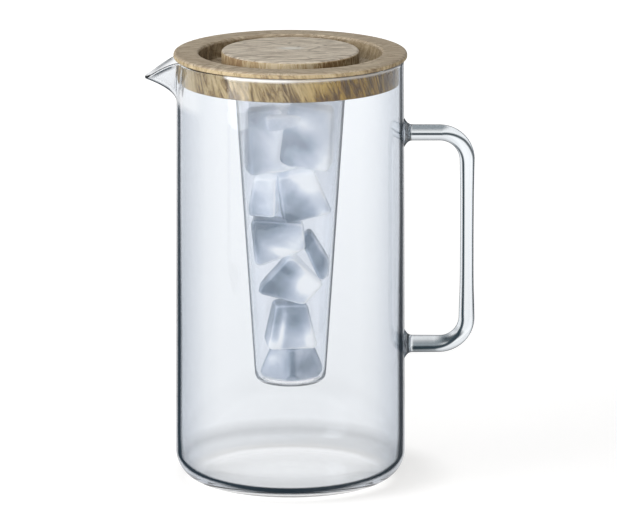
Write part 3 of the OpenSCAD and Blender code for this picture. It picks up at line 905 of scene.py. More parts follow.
class PITCHER_OT_jug(bpy.types.Operator):
    """Builds the blown jug with its drawn lip"""

    bl_idname = "pitcher.jug"
    bl_label = "Build jug"

    def execute(self, context):
        settings = context.scene.pitcher_jug
        jug = jug_mesh(settings)
        tint = tuple(settings.tint)
        # How dark the wall is at each facing. Red is lost first and blue last
        shares = ((0.22, 1.0), (0.34, 0.88), (0.44, 0.69), (0.56, 0.51), (0.65, 0.4), (0.8, 0.38), (1.0, 0.4))
        powers = (1.12, 1.0, 0.82)
        stops = [(0.0, tint)]
        for at, share in shares:
            stops.append((at, tuple(c * share**k for c, k in zip(tint, powers))))
        glass = clear_glass("Blown glass", tint, stops, tuple(settings.edge_tint), GLASS_SHADOW)
        jug.data.materials.append(glass)
        finish_piece(jug, "jug", "glass", "jug_body")
        return {"FINISHED"}


# Handle


# Heights of the arms' middles, where the arms start inside the wall, and the middle of the grip, which
# stays half a rod or more inside the handle's box
TOP_ARM_Z = 191.7 * MM
FOOT_ARM_Z = 74.4 * MM
ARM_START_X = 60.9 * MM
GRIP_X = min(HANDLE_HIGH.x - 7.2 * MM / 2, 95.8 * MM)


def handle_path(bend_r):
    """Middle line of the rod from the upper weld to the lower one, in short steps."""
    bend_x, low, high = GRIP_X - bend_r, FOOT_ARM_Z + bend_r, TOP_ARM_Z - bend_r
    straight = GRIP_X - bend_r - ARM_START_X
    arm_steps, bend_steps, grip_steps = 34, 24, 70
    path = [(ARM_START_X + straight * k / arm_steps, TOP_ARM_Z) for k in range(arm_steps)]
    path += arc((bend_x, high), bend_r, 90, 0, bend_steps)
    path += [(GRIP_X, high + (low - high) * k / grip_steps) for k in range(1, grip_steps)]
    path += arc((bend_x, low), bend_r, 0, -90, bend_steps)
    path += [(bend_x - straight * k / arm_steps, FOOT_ARM_Z) for k in range(1, arm_steps + 1)]
    return [(x, 0.0, z) for x, z in path]


def way_along(path):
    """Distance of each point of a path from its start."""
    steps = np.linalg.norm(np.diff(np.array(path), axis=0), axis=1)
    return np.concatenate([[0], np.cumsum(steps)])


def handle_radii(path, grip_diameter):
    """Radius of the rod at each point: flared welds, full bends, thin grip."""
    along = way_along(path)
    grip = grip_diameter / 2 / MM
    shares = [0.0, 0.13, 0.21, 0.33, 0.48, 0.64, 0.76, 0.86, 1.0]
    sizes = [4.4, 4.35, 4.2, grip + 0.12, grip, grip + 0.1, 4.35, 4.55, 4.75]
    radii = np.interp(along / along[-1], shares, sizes) * MM
    radii = np.convolve(np.pad(radii, 6, mode="edge"), np.ones(13) / 13, mode="valid")

    def flare(distance, foot, rod):
        """A foot that leaves the wall wide and runs into the rod within a few millimetres."""
        reach = 5.2 * MM
        t = np.clip(1 - (distance - 0.7 * MM) / reach, 0, 1)
        return (foot - rod) * t**3.0

    radii += flare(along, 8.2 * MM, radii[0])
    radii += flare(along[-1] - along, 9.2 * MM, radii[-1])
    return radii


def handle_marks(points, path):
    """Numbers for the rod: its edge line, and the dark reflections that are painted along it."""
    nearest = np.argmin(((points[:, None, ::2] - path[None, :, ::2]) ** 2).sum(axis=2), axis=1)
    away = points - path[nearest]
    away /= np.maximum(np.linalg.norm(away, axis=1, keepdims=True), 1e-9)
    along = way_along(path)
    share = (along / along[-1])[nearest]
    tangent = np.gradient(path, axis=0)[nearest]
    tangent /= np.linalg.norm(tangent, axis=1, keepdims=True)
    # How far a point lies towards the inside of the loop, from -1 to 1
    inward = away[:, 0] * tangent[:, 2] - away[:, 2] * tangent[:, 0]

    def line(stations, width):
        """A line at (share, place across, strength) stations."""
        at, place, strength = np.array(stations).T
        off = (inward - np.interp(share, at, place)) / width
        return np.exp(-(off**4)) * np.interp(share, at, strength)

    # Painted reflections: dark lines along the arms and the grip, a dark spot at the lower bend and dark
    # rings at the feet
    upper = line(
        [(0.02, 0, 0), (0.03, 0, 1), (0.12, 0, 1), (0.15, -0.25, 0.95), (0.19, -0.6, 0.85),
         (0.24, -0.86, 0.78), (0.3, -0.9, 0.82), (0.72, -0.9, 0.82), (0.77, -0.9, 0.4), (0.8, -0.9, 0)],
        0.15,
    )
    lower = line(
        [(0.15, 0.8, 0), (0.19, 0.72, 0.7), (0.26, 0.54, 1), (0.74, 0.53, 1), (0.8, 0.4, 1), (0.86, 0, 1),
         (0.9, -0.27, 1), (0.966, -0.3, 1), (0.972, -0.3, 0)],
        np.interp(share, [0.2, 0.86, 0.92], [0.15, 0.17, 0.24]),
    )
    spot = line(
        [(0.79, 0.15, 0), (0.81, 0.25, 0.85), (0.835, 0.4, 0.9), (0.86, 0.5, 0.8), (0.885, 0.55, 0)], 0.3
    )
    feet = np.exp(-(((share - 0.02) / 0.004) ** 2)) + np.exp(-(((share - 0.981) / 0.004) ** 2))
    painted_light_and_rime = np.clip(upper + lower + spot + 0.7 * feet, 0, 1) * 0.97
    even = {"edge_on": 0.8, "line_at": 0.8, "line_width": 0.24, "bright": 0.0}
    return {"painted_light_and_rime": painted_light_and_rime, **{key: np.full(len(points), value) for key, value in even.items()}}


def new_geometry(name, inputs, output):
    """An empty Geometry Nodes tree and what it takes in. inputs are (name, kind, default)."""
    tree = bpy.data.node_groups.new(name, "GeometryNodeTree")
    for key, kind, default in inputs:
        socket = tree.interface.new_socket(name=key, in_out="INPUT", socket_type="NodeSocket" + kind)
        if default is not None:
            socket.default_value = default
    tree.interface.new_socket(name=output, in_out="OUTPUT", socket_type="NodeSocketGeometry")
    return tree, add(tree, "NodeGroupInput", (-700, 0)).outputs


def put_out(tree, start_x, mesh, material, output):
    """Ends a Geometry Nodes tree: smooths its mesh, makes it real, paints it and puts it out."""
    smooth = add(tree, "GeometryNodeSetShadeSmooth", (start_x, 0), {"Geometry": mesh})
    real = add(tree, "GeometryNodeRealizeInstances", (start_x + 160, 0), {"Geometry": smooth.outputs[0]})
    painted = {"Geometry": real.outputs[0], "Material": material}
    paint = add(tree, "GeometryNodeSetMaterial", (start_x + 320, 0), painted)
    add(tree, "NodeGroupOutput", (start_x + 480, 0), {output: paint.outputs[0]})


ROD_SIDES = 96


def sweep_tree(material):
    """Geometry Nodes: sweeps a round rod along a curve by the radius stored on its points."""
    tree, given = new_geometry(
        "Rod along path", [("Path", "Geometry", None), ("Sides", "Int", ROD_SIDES)], "Mesh"
    )
    line = add(tree, "GeometryNodeMeshToCurve", (-400, 80), {"Mesh": given["Path"]})
    ring = add(
        tree, "GeometryNodeCurvePrimitiveCircle", (-400, -120), {"Radius": 1.0, "Resolution": given["Sides"]}
    )
    size = add(
        tree, "GeometryNodeInputNamedAttribute", (-400, -300), {"Name": "rod_radius"}, data_type="FLOAT"
    )
    swept = {
        "Curve": line.outputs["Curve"],
        "Profile Curve": ring.outputs["Curve"],
        "Scale": size.outputs["Attribute"],
        "Fill Caps": True,
    }
    rod = add(tree, "GeometryNodeCurveToMesh", (-120, 0), swept)
    put_out(tree, 80, rod.outputs["Mesh"], material, "Mesh")
    return tree


def applied(source, name):
    """A plain mesh object from a piece's evaluated modifiers; the source is removed."""
    graph = bpy.context.evaluated_depsgraph_get()
    mesh = bpy.data.meshes.new_from_object(source.evaluated_get(graph))
    mesh.name = name
    piece = placed(name, mesh)
    bpy.data.objects.remove(source)
    return piece


class PITCHER_OT_handle(bpy.types.Operator):
    """Bends the glass rod into the handle and flares both of its fused feet"""

    bl_idname = "pitcher.handle"
    bl_label = "Build handle"

    def execute(self, context):
        settings = context.scene.pitcher_handle
        path = handle_path(settings.bend_radius)
        radii = handle_radii(path, settings.grip_diameter)
        mesh = bpy.data.meshes.new("handle path")
        mesh.from_pydata(path, [(i, i + 1) for i in range(len(path) - 1)], [])
        mark_points(mesh, {"rod_radius": radii})
        line = placed("handle path", mesh)
        stops = [
            (0.0, (0.83, 0.865, 0.895)),
            (0.4, (0.8, 0.84, 0.88)),
            (0.7, (0.68, 0.74, 0.8)),
            (1.0, (0.45, 0.51, 0.58)),
        ]
        glass = clear_glass("Drawn glass rod", stops[0][1], stops, tuple(settings.painted_light_and_rime), GLASS_SHADOW)
        tree = sweep_tree(glass)
        sweep = line.modifiers.new("sweep", "NODES")
        sweep.node_group = tree
        identifier = next(i.identifier for i in tree.interface.items_tree if i.name == "Sides")
        sweep[identifier] = ROD_SIDES
        handle = applied(line, "handle")
        points = np.array([v.co for v in handle.data.vertices])
        mark_points(handle.data, handle_marks(points, np.array(path)))
        finish_piece(handle, "jug", "glass", "handle")
        return {"FINISHED"}


# Lid, knob, seals


def turning_marks(depth, seed):
    """Relief of a turned surface: slow chatter and a few tool lines, never outwards."""
    phase = np.random.default_rng(seed).uniform(0, 2 * math.pi, 6)
    # Waves around the piece, and how fast they and the tool lines turn with each metre of r and z
    waves = (3, 5, 8, 13)
    chatter_pitch, line_pitch, climb_pitch = 900, 5200, 4100

    def relief(r, z, angle):
        chatter = sum(math.sin(angle * n + phase[k] + r * chatter_pitch) for k, n in enumerate(waves)) / 4
        line = 0.5 + 0.5 * math.sin(r * line_pitch + z * climb_pitch + phase[4])
        lift = -depth * (0.5 + 0.25 * chatter + 0.25 * line)
        return lift * 0.5, lift * 0.5

    return relief


def wood_tones(wood):
    """Tones of the faces, from light to stained."""
    return [tuple(tone) for tone in (wood.light, wood.mid, wood.dark, wood.stain)]


def side_tones(wood):
    """Tones of the turned sides, from light to stained."""
    return [tuple(tone) for tone in (wood.side_light, wood.side_mid, wood.side_dark, wood.side_stain)]


def silvered(tone, share, lift):
    """A tone that has weathered towards grey, and is lifted or lowered."""
    grey = sum(tone) / 3
    return tuple(min((c * (1 - share) + grey * share) * lift, 1.0) for c in tone)


class PITCHER_OT_lid(bpy.types.Operator):
    """Turns the wooden lid ring with its finger groove and the ledge for the core"""

    bl_idname = "pitcher.lid"
    bl_label = "Build lid"

    def execute(self, context):
        wood = context.scene.pitcher_wood
        top, flange_z, plug_z = LID_HIGH.z, LID_HIGH.z - 3.3 * MM, LID_LOW.z
        outer, plug_r, groove_r = LID_HIGH.x, 58.8 * MM, 49.8 * MM
        groove_z, ledge_z = top - 11.6 * MM, top - 13.2 * MM
        bore_r, seat_r = 31.15 * MM, 35.8 * MM
        section = rounded(
            [
                (bore_r, plug_z, 0.4 * MM),
                (plug_r, plug_z, 1.0 * MM),
                (plug_r, flange_z, 0.0),
                (outer, flange_z, 1.0 * MM),
                (outer, top, 1.5 * MM),
                (groove_r, top, 1.1 * MM),
                (groove_r, groove_z, 5.0 * MM),
                (seat_r, groove_z, 0.4 * MM),
                (seat_r, ledge_z, 0.0),
                (bore_r, ledge_z, 0.3 * MM),
            ]
        )

        def on_plug(r, z):
            return r > plug_r - 0.4 * MM and z < flange_z - 0.1 * MM

        def in_groove(r, z):
            return abs(r - groove_r) < 0.7 * MM and z < top - 1.5 * MM

        def side(r, z, angle):
            """Torn grain on the plug, less of it on the flange and in the groove."""
            if on_plug(r, z):
                return 1.0
            if r > outer - 0.6 * MM and z < top - 0.9 * MM:
                return 0.55
            return 0.3 if in_groove(r, z) else 0.0

        def painted_shade(r, z, angle):
            """Painted shade: in the groove, most on its left, in the corner under the flange, and in streaks
            on the plug's right.
            """
            if in_groove(r, z):
                return 0.4 - 0.24 * math.cos(angle)
            if r < plug_r - 0.2 * MM or z > flange_z + 0.5 * MM:
                return 0.0
            if z > flange_z - 1.7 * MM:
                return 0.62 + 0.33 * math.cos(angle + 0.5)
            bands = 0.5 + 0.25 * math.sin(angle * 47) + 0.25 * math.sin(angle * 31 + 1)
            return clamped((math.cos(angle) - 0.2) / 0.3) * (0.02 + 0.7 * bands * bands)

        def gold(r, z, angle):
            """The plug is honey brown on its right."""
            return clamped((math.cos(angle) + 0.02) / 0.5) if on_plug(r, z) else 0.0

        marks = {"side": side, "painted_shade": painted_shade, "gold": gold}
        lid = turned("lid", refined(section, 1.0 * MM), 360, turning_marks(0.05 * MM, 3), marks)
        figure = {"Ring width": 0.0036, "Wander": 0.03, "Fibre scale": 760.0, "Fibre stretch": 0.05}
        figure.update({"Slant": 6.0, "Streak scale": 300.0})
        grain = {"figure": figure, "rings": 0.75, "fibres": 0.7, "pores": 0.9}
        lid.data.materials.append(
            turned_wood(
                "Oiled lid wood", wood_tones(wood), side_tones(wood), (0.0, -0.11, 0.15), (0, 0, 12), grain
            )
        )
        finish_piece(lid, "lid", "wood", "lid_ring")
        return {"FINISHED"}


class PITCHER_OT_knob(bpy.types.Operator):
    """Turns the knob with the stopper under it"""

    bl_idname = "pitcher.knob"
    bl_label = "Build knob"

    def execute(self, context):
        wood = context.scene.pitcher_wood
        top, disc_z, low = KNOB_HIGH.z, KNOB_HIGH.z - 10 * MM, KNOB_LOW.z
        disc_r, stopper_r = KNOB_HIGH.x, 27.75 * MM
        seat_r = 25.7 * MM
        seat_low, seat_high = SEAL_LOW.z - 0.05 * MM, SEAL_HIGH.z + 0.05 * MM
        section = [(0.0, low)] + rounded(
            [
                (stopper_r, low, 1.0 * MM),
                (stopper_r, seat_low, 0.2 * MM),
                (seat_r, seat_low, 0.0),
                (seat_r, seat_high, 0.0),
                (stopper_r, seat_high, 0.2 * MM),
                (stopper_r, disc_z, 0.0),
                (disc_r, disc_z, 1.0 * MM),
                (disc_r, top, 1.6 * MM),
                (0.0, top, 0.0),
                (0.0, low, 0.0),
            ]
        )[:-1]

        def side(r, z, angle):
            return 1.0 if r > disc_r - 0.8 * MM and z < top - 0.7 * MM else 0.0

        def painted_shade(r, z, angle):
            """Painted shade: a dark lower corner, and a side that is browner on the right, away from the key
            lamp.
            """
            corner = 1.2 * MM
            if r < stopper_r or z > top - corner:
                return 0.0
            return 0.6 if z < disc_z + corner else 0.66 * clamped((math.cos(angle) + 0.1) / 0.7)

        marks = {"side": side, "painted_shade": painted_shade}
        knob = turned("knob", refined(section, 1.0 * MM), 288, turning_marks(0.05 * MM, 8), marks)
        figure = {"Ring width": 0.0052, "Wander": 0.035, "Fibre scale": 620.0, "Fibre stretch": 0.06}
        figure.update({"Slant": 3.0, "Streak scale": 520.0})
        grain = {"figure": figure, "rings": 0.3, "fibres": 0.35, "pores": 0.5}
        # The knob is greyer than the lid, and its dark side tones are lifted most
        grey_share, face_lift, side_lifts = 0.3, 1.28, (1.04, 1.28, 1.95, 3.2)
        faces = [silvered(tone, grey_share, face_lift) for tone in wood_tones(wood)]
        sides = [silvered(tone, grey_share, lift) for tone, lift in zip(side_tones(wood), side_lifts)]
        pith, turn, knot = (0.004, 0.003, 0.0), (0, 90, 20), (0.0005, 0.004, 0.0075)
        knob.data.materials.append(turned_wood("Oiled knob wood", faces, sides, pith, turn, grain, knot))
        finish_piece(knob, "knob", "wood", "knob")
        return {"FINISHED"}


class PITCHER_OT_seals(bpy.types.Operator):
    """Makes the flat ring under the core's flange and the lipped seal of the stopper"""

    bl_idname = "pitcher.seals"
    bl_label = "Build seals"

    def execute(self, context):
        rubber = silicone_material()
        low, high = GASKET_LOW.z, GASKET_HIGH.z
        inner, outer = 30.6 * MM, GASKET_HIGH.x
        inner_round, outer_round, columns = 0.1 * MM, 0.4 * MM, 160
        section = rounded(
            [
                (inner, low, inner_round),
                (outer, low, outer_round),
                (outer, high, outer_round),
                (inner, high, inner_round),
            ]
        )
        gasket = turned("gasket", section, columns)
        gasket.data.materials.append(rubber)
        finish_piece(gasket, "core", "silicone", "core_gasket")
        band_in, band_out, tip = 25.75 * MM, 27.75 * MM, SEAL_HIGH.x
        low, high = SEAL_LOW.z, SEAL_HIGH.z
        step = (high - low) / 8
        corners = [(band_in, low, 0.1 * MM), (band_out, low, 0.2 * MM)]
        for middle in (low + 2 * step, high - 2 * step):
            corners += [
                (band_out, middle - 0.8 * step, 0.1 * MM),
                (tip, middle - 0.4 * step, 0.12 * MM),
                (tip, middle + 0.4 * step, 0.12 * MM),
                (band_out, middle + 0.8 * step, 0.1 * MM),
            ]
        corners += [(band_out, high, 0.2 * MM), (band_in, high, 0.1 * MM)]
        seal = turned("seal", rounded(corners, 4), columns)
        seal.data.materials.append(rubber)
        finish_piece(seal, "knob", "silicone", "knob_seal")
        return {"FINISHED"}


# Core and ice


class PITCHER_OT_core(bpy.types.Operator):
    """Builds the tapered glass tube that hangs in the lid and holds the ice"""

    bl_idname = "pitcher.core"
    bl_label = "Build core"

    def execute(self, context):
        foot_z, top_z = CORE_LOW.z, CORE_HIGH.z
        seat_z = top_z - 2.4 * MM
        wall, floor = 1.6 * MM, 2.2 * MM
        foot_r, mouth_r, flange_r = 19.1 * MM, 30.55 * MM, CORE_HIGH.x
        lean = (mouth_r - foot_r) / (seat_z - foot_z)
        top_r = mouth_r + lean * (top_z - seat_z)
        below_flange = seat_z - 1 * MM
        section = [(0.0, foot_z)] + rounded(
            [
                (foot_r, foot_z, 4.6 * MM),
                (mouth_r, seat_z, 0.0),
                (flange_r, seat_z, 0.5 * MM),
                (flange_r, top_z, 1.0 * MM),
                (top_r - wall, top_z, 0.5 * MM),
                (foot_r - wall + lean * floor, foot_z + floor, 3.2 * MM),
                (0.0, foot_z + floor, 0.0),
                (0.0, foot_z, 0.0),
            ],
            10,
        )[:-1]

        def outside(r, z, angle):
            """Most on the outer wall, a little less on the foot, least on the flange, 0 inside."""
            if z > below_flange:
                return 0.3
            wall_r = foot_r + lean * (z - foot_z)
            return on_corner(z, 0.8, 0.88) if r > wall_r - 0.5 * MM or z < foot_z + 1.6 * MM else 0.0

        def frost(r, z, angle):
            """Rime on the wall, thicker towards the top."""
            start, reach = 0.145, 0.05
            return 0.24 * clamped((z - start) / reach) if z < below_flange else 0.0

        def on_corner(z, corner, straight):
            """One value on the foot's round corner and another up the wall."""
            share = clamped((z - foot_z - 2.5 * MM) / (4 * MM))
            return corner + (straight - corner) * share

        marks = {
            "edge_on": outside,
            "line_at": lambda r, z, angle: on_corner(z, 0.62, 0.83),
            "line_width": lambda r, z, angle: on_corner(z, 0.33, 0.22),
            "painted_light_and_rime": frost,
            "bright": lambda r, z, angle: 1.0,
            "haze": lambda r, z, angle: 0.02 + 0.4 * frost(r, z, angle),
        }
        core = turned("core", refined(section, 4 * MM), 320, None, marks)
        plain = (0.93, 0.94, 0.965)
        stops = [
            (0.0, plain),
            (0.3, (0.88, 0.9, 0.935)),
            (0.6, (0.64, 0.7, 0.77)),
            (0.85, (0.42, 0.49, 0.57)),
            (1.0, (0.34, 0.4, 0.48)),
        ]
        line, shadow_tint, rime = (0.12, 0.155, 0.195), (0.96, 0.97, 0.985), (0.76, 0.80, 0.88)
        core.data.materials.append(
            clear_glass(
                "Frosted core glass", plain, stops, line, shadow_tint,
                ior=1.46, bump=0.012, wave_scale=60.0, bright_colour=rime, haze="haze",
            )
        )
        finish_piece(core, "core", "core_glass", "core_tube")
        return {"FINISHED"}


# Each piece of ice: how light it is, how much it changes, the way across it from slate to white, along
# which its cloudiness and painted light and shade change, how far it has slid in X and Z (mm), and how
# much it has frozen on in X and Z
ICE_FORMS = {
    "ice_cube_01": (-0.25, 0.6, (0.1, -0.2, -0.9), (1.1, 0.0), (1.06, 1.1)),
    "ice_cube_02": (0.34, 0.5, (0.5, -0.1, -0.5), (0.3, 0.0), (1.06, 1.0)),
    "ice_cube_03": (0.44, 0.8, (0.8, 0.0, 0.0), (-1.6, -1.5), (1.23, 1.0)),
    "ice_cube_04": (0.56, 0.8, (0.7, 0.0, -0.5), (0.8, 0.2), (1.16, 1.2)),
    "ice_cube_05": (0.18, 0.7, (0.7, 0.0, 0.1), (1.0, 1.0), (1.15, 1.65)),
    "ice_cube_06": (0.52, 0.6, (0.4, 0.0, 0.8), (-0.8, 2.8), (1.2, 1.08)),
    "ice_cube_07": (0.66, 0.4, (0.8, 0.0, 0.2), (-0.8, 3.6), (1.04, 1.0)),
    "ice_cube_08": (0.56, 0.8, (0.8, 0.0, -0.2), (0.0, 8.0), (1.14, 1.42)),
    "ice_cube_09": (0.48, 0.5, (0.8, 0.0, 0.1), (-3.0, 8.0), (1.3, 1.38)),
    "ice_cube_10": (0.9, 0.2, (0.2, 0.0, 0.9), (0.0, 2.0), (1.15, 1.1)),
    "ice_cube_11": (0.8, 0.3, (-0.3, 0.0, 0.9), (0.0, 4.0), (1.2, 1.1)),
    "ice_cube_12": (0.62, 0.2, (0.2, 0.0, 0.8), (0.0, 0.0), (1.3, 1.0)),
}
# Clouds and clear places in the ice, and painted highlights and painted shade among them: X and Z of the
# middle (mm), reach in X and Z (mm), slant (degrees) and change of tone
ICE_CLOUDS_AND_PAINTED_LIGHT = (
    (-24.0, 183.0, 2.6, 13.0, 0, -0.5),
    (-15.0, 169.5, 9.0, 1.6, -8, 0.55),
    (3.0, 171.0, 3.0, 3.2, 0, 0.7),
    (18.0, 176.0, 5.5, 6.5, 30, 0.45),
    (6.0, 198.0, 6.5, 4.0, 10, 0.4),
    (8.0, 187.0, 5.0, 5.0, 0, -0.3),
    (10.0, 166.0, 4.5, 7.0, -35, 0.6),
    (17.0, 149.0, 5.0, 3.4, 10, 0.5),
    (21.0, 156.0, 1.6, 7.0, 0, -0.45),
    (0.0, 147.0, 4.5, 4.0, -30, -0.3),
    (-20.0, 135.0, 2.6, 10.0, 6, -0.45),
    (-11.0, 142.5, 9.0, 1.4, -4, -0.3),
    (-3.0, 127.0, 9.0, 2.2, 22, 0.7),
    (8.0, 131.0, 2.2, 9.0, 22, -0.4),
    (18.0, 122.0, 3.0, 9.0, 24, -0.3),
    (-13.0, 110.0, 4.0, 3.0, 0, -0.4),
    (-1.0, 117.5, 5.0, 2.4, 30, -0.35),
    (7.5, 109.5, 5.0, 4.4, -40, 0.75),
    (-4.5, 84.0, 1.5, 9.5, 8, 0.7),
    (2.0, 90.0, 4.5, 6.0, 0, -0.3),
    (-9.0, 77.0, 3.4, 3.4, 0, 0.6),
    (11.0, 78.0, 2.4, 5.0, -20, 0.6),
    (5.0, 65.0, 7.0, 5.0, 0, -0.3),
    (-10.0, 67.0, 3.0, 3.0, 0, 0.3),
)


def ice_clouds_and_painted_light(x, z):
    """Sum of the clouds, painted highlights and painted shade over points, x and z in millimetres."""
    total = np.zeros(len(x))
    for middle_x, middle_z, reach_x, reach_z, slant, change in ICE_CLOUDS_AND_PAINTED_LIGHT:
        turn = math.radians(slant)
        dx, dz = x - middle_x, z - middle_z
        across = (dx * math.cos(turn) - dz * math.sin(turn)) / reach_x
        along = (dx * math.sin(turn) + dz * math.cos(turn)) / reach_z
        total += change * np.exp(-(across**2 + along**2))
    return total


def settled(mesh, slide, growth):
    """Slides a piece of ice along X and Z, thickens it, and keeps it inside the core's wall."""
    count = len(mesh.vertices)
    points = np.empty(count * 3)
    mesh.vertices.foreach_get("co", points)
    points = points.reshape(count, 3)
    middle = (points.min(axis=0) + points.max(axis=0)) / 2
    depth_growth = 1.08
    scale = np.array([growth[0], depth_growth, growth[1]])
    points = middle + (points - middle) * scale + np.array([slide[0], 0.0, slide[1]]) * MM
    # The core's bore by height, less a small clearance and its round corner at the floor
    floor_z, top_z, clearance = 56.7 * MM, 216.5 * MM, 0.35 * MM
    points[:, 2] = np.clip(points[:, 2], floor_z, top_z)
    room = np.interp(points[:, 2], [58 * MM, 224 * MM], [17.4 * MM, 28.7 * MM]) - clearance
    room -= np.interp(points[:, 2], [floor_z, 60 * MM], [2.2 * MM, 0.0])
    radius = np.hypot(points[:, 0], points[:, 1])
    points[:, :2] *= np.minimum(1.0, room / np.maximum(radius, 1e-9))[:, None]
    mesh.vertices.foreach_set("co", points.ravel())
    mesh.update()


def melt_tree():
    """Geometry Nodes: draws a piece of ice in along its normals where it has melted."""
    tree, given = new_geometry(
        "Melted ice",
        [
            ("Ice", "Geometry", None),
            ("Depth", "Float", 0.45 * MM),
            ("Hollow scale", "Float", 95.0),
            ("Seed", "Float", 0.0),
            ("Finish", "Material", None),
        ],
        "Melted",
    )
    hollowed = {"Scale": given["Hollow scale"], "W": given["Seed"], "Detail": 1.5, "Roughness": 0.5}
    hollows = add(tree, "ShaderNodeTexNoise", (-460, -200), hollowed, noise_dimensions="4D")
    depth = add_math(tree, (-260, -200), "MULTIPLY", hollows.outputs["Fac"], given["Depth"])
    inward = add_math(tree, (-100, -200), "MULTIPLY", depth, -1.0)
    normal = add(tree, "GeometryNodeInputNormal", (-260, -400)).outputs[0]
    push = add_vector(tree, (60, -260), "SCALE", normal, inward)
    move = add(tree, "GeometryNodeSetPosition", (260, 0), {"Geometry": given["Ice"], "Offset": push})
    put_out(tree, 420, move.outputs["Geometry"], given["Finish"], "Melted")
    return tree


def merged_copy(node):
    """A joined-up copy of a CAD node's mesh."""
    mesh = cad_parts[node].data.copy()
    mesh.materials.clear()
    work = bmesh.new()
    work.from_mesh(mesh)
    bmesh.ops.remove_doubles(work, verts=work.verts, dist=1e-6)
    work.to_mesh(mesh)
    work.free()
    return placed(node, mesh)


class PITCHER_OT_ice(bpy.types.Operator):
    """Melts the ice cubes and clouds each one in its own way"""

    bl_idname = "pitcher.ice"
    bl_label = "Build ice"

    def execute(self, context):
        settings = context.scene.pitcher_ice
        finish = ice_material()
        tree = melt_tree()
        sockets = {i.name: i.identifier for i in tree.interface.items_tree}
        for number, node in enumerate(ICE_NODES):
            level, change, way, slide, growth = ICE_FORMS[node]
            block = merged_copy(node)
            remesh = block.modifiers.new("remesh", "REMESH")
            remesh.mode = "VOXEL"
            remesh.voxel_size = settings.voxel
            soften = block.modifiers.new("soften", "SMOOTH")
            soften.factor = 0.5
            soften.iterations = 2
            melt = block.modifiers.new("melt", "NODES")
            melt.node_group = tree
            melt[sockets["Depth"]] = settings.melt
            melt[sockets["Seed"]] = number * 3.7
            melt[sockets["Finish"]] = finish
            ice = applied(block, f"ice_{number + 1:02d}")
            settled(ice.data, slide, growth)
            points = np.array([v.co for v in ice.data.vertices])
            low, high = points.min(axis=0), points.max(axis=0)
            local = (points - (low + high) / 2) / ((high - low) / 2)
            tone = level + change * (local @ np.array(way)) / (np.abs(way).sum())
            tone = np.clip(tone, 0.12, 0.9) + ice_clouds_and_painted_light(points[:, 0] / MM, points[:, 2] / MM)
            normals = np.array([v.normal for v in ice.data.vertices])
            # The mark grows where the normal turns away from all three axes: on edges and tilted faces. The
            # white it gives is partly frost and partly painted highlight
            flatness = np.abs(normals).max(axis=1)
            edge = np.clip((0.93 - flatness) / 0.25, 0, 1) * 0.7
            edge *= np.interp(points[:, 2], [0.15, 0.185], [1.0, 0.4])
            mark_points(ice.data, {"tone": tone, "edge": edge})
            finish_piece(ice, "core", "ice", node)
        return {"FINISHED"}


# Stage


def seen_level(tree, lit, shown, reflected):
    """A strength for each kind of ray.

    lit is for light, shown for the camera and through glass, and reflected for what mirrors it.
    """
    path = add(tree, "ShaderNodeLightPath", (-1100, 300)).outputs
    level = lit
    rays = (("Is Glossy Ray", reflected), ("Is Transmission Ray", shown[1]), ("Is Camera Ray", shown[0]))
    for i, (ray, value) in enumerate(rays):
        level = mix_value(tree, (-800 + 200 * i, 200), path[ray], level, value)
    return level


def floor_material():
    """A white floor that takes a soft shadow and glows for what looks at it, with painted light under the jug
    and a painted shadow beside its foot.
    """
    material, tree, surface = new_material("White floor")
    vector = object_place(tree, (-900, -100))
    grain = add_noise(tree, (-700, -100), vector, 3.0)
    tone = add_ramp(tree, (-500, -100), grain, [(0.3, (0.905, 0.9, 0.893)), (0.7, (0.92, 0.916, 0.91))])
    matt_look = {"Base Color": tone, "Roughness": 0.9, "Specular IOR Level": 0.0}
    matt = add_principled(tree, (-200, -100), matt_look)
    # It glows more far from the jug, where less light of the lamps falls
    reach = add_vector(tree, (-700, -500), "LENGTH", vector)
    strength = add_range(tree, (-500, -500), reach, 0.25, 1.3, 1.94, 2.75)
    # Painted light: under the jug the floor glows more, where it is seen through the glass of the foot
    under = add_range(tree, (-500, -760), reach, 0.05, 0.059, 0.62, 0.0)
    strength = add_math(tree, (-340, -600), "ADD", strength, under)
    # Painted shadow: close beside the foot, on the side away from the lamps, the floor glows less
    near = add_vector(tree, (-900, -1000), "ADD", vector, (-0.01, -0.012, 0.0))
    near = add_vector(tree, (-700, -1000), "LENGTH", near)
    shade = add_range(
        tree, (-500, -1000), near, 0.058, 0.086, -0.45, 0.0, interpolation_type="SMOOTHSTEP"
    )
    clear_of = add_range(tree, (-500, -1240), reach, 0.05, 0.058)
    shade = add_math(tree, (-340, -1100), "MULTIPLY", shade, clear_of)
    strength = add_math(tree, (-180, -700), "ADD", strength, shade)
    # What is mirrored in the glass stays low, so that it doesn't veil what lies behind
    strength = seen_level(tree, strength, (strength, strength), 0.62)
    glow = add(tree, "ShaderNodeEmission", (-200, -400), {"Color": (1, 1, 1), "Strength": strength})
    share = seen_level(tree, 0.0, (0.3, 0.3), 1.0)
    tree.links.new(mix_shader(tree, (500, 0), share, matt, glow.outputs[0]), surface)
    return material


def studio_world(ambient):
    """White light from all around, in which glass shows white behind it and the darker room above."""
    world = bpy.data.worlds.new("Studio")
    world.use_nodes = True
    tree = world.node_tree
    tree.nodes.clear()
    way = add(tree, "ShaderNodeTexCoord", (-1500, -100)).outputs["Generated"]
    parts = add(tree, "ShaderNodeSeparateXYZ", (-1300, -100), {0: way}).outputs
    room = add_range(tree, (-1100, -100), parts["Z"], 0.22, 0.62, 1.0, 0.54)
    level = seen_level(tree, ambient, (1.0, room), 0.45)
    light = add(tree, "ShaderNodeBackground", (300, 0), {"Color": (1, 1, 1), "Strength": level})
    add(tree, "ShaderNodeOutputWorld", (600, 0), {"Surface": light.outputs[0]})
    return world


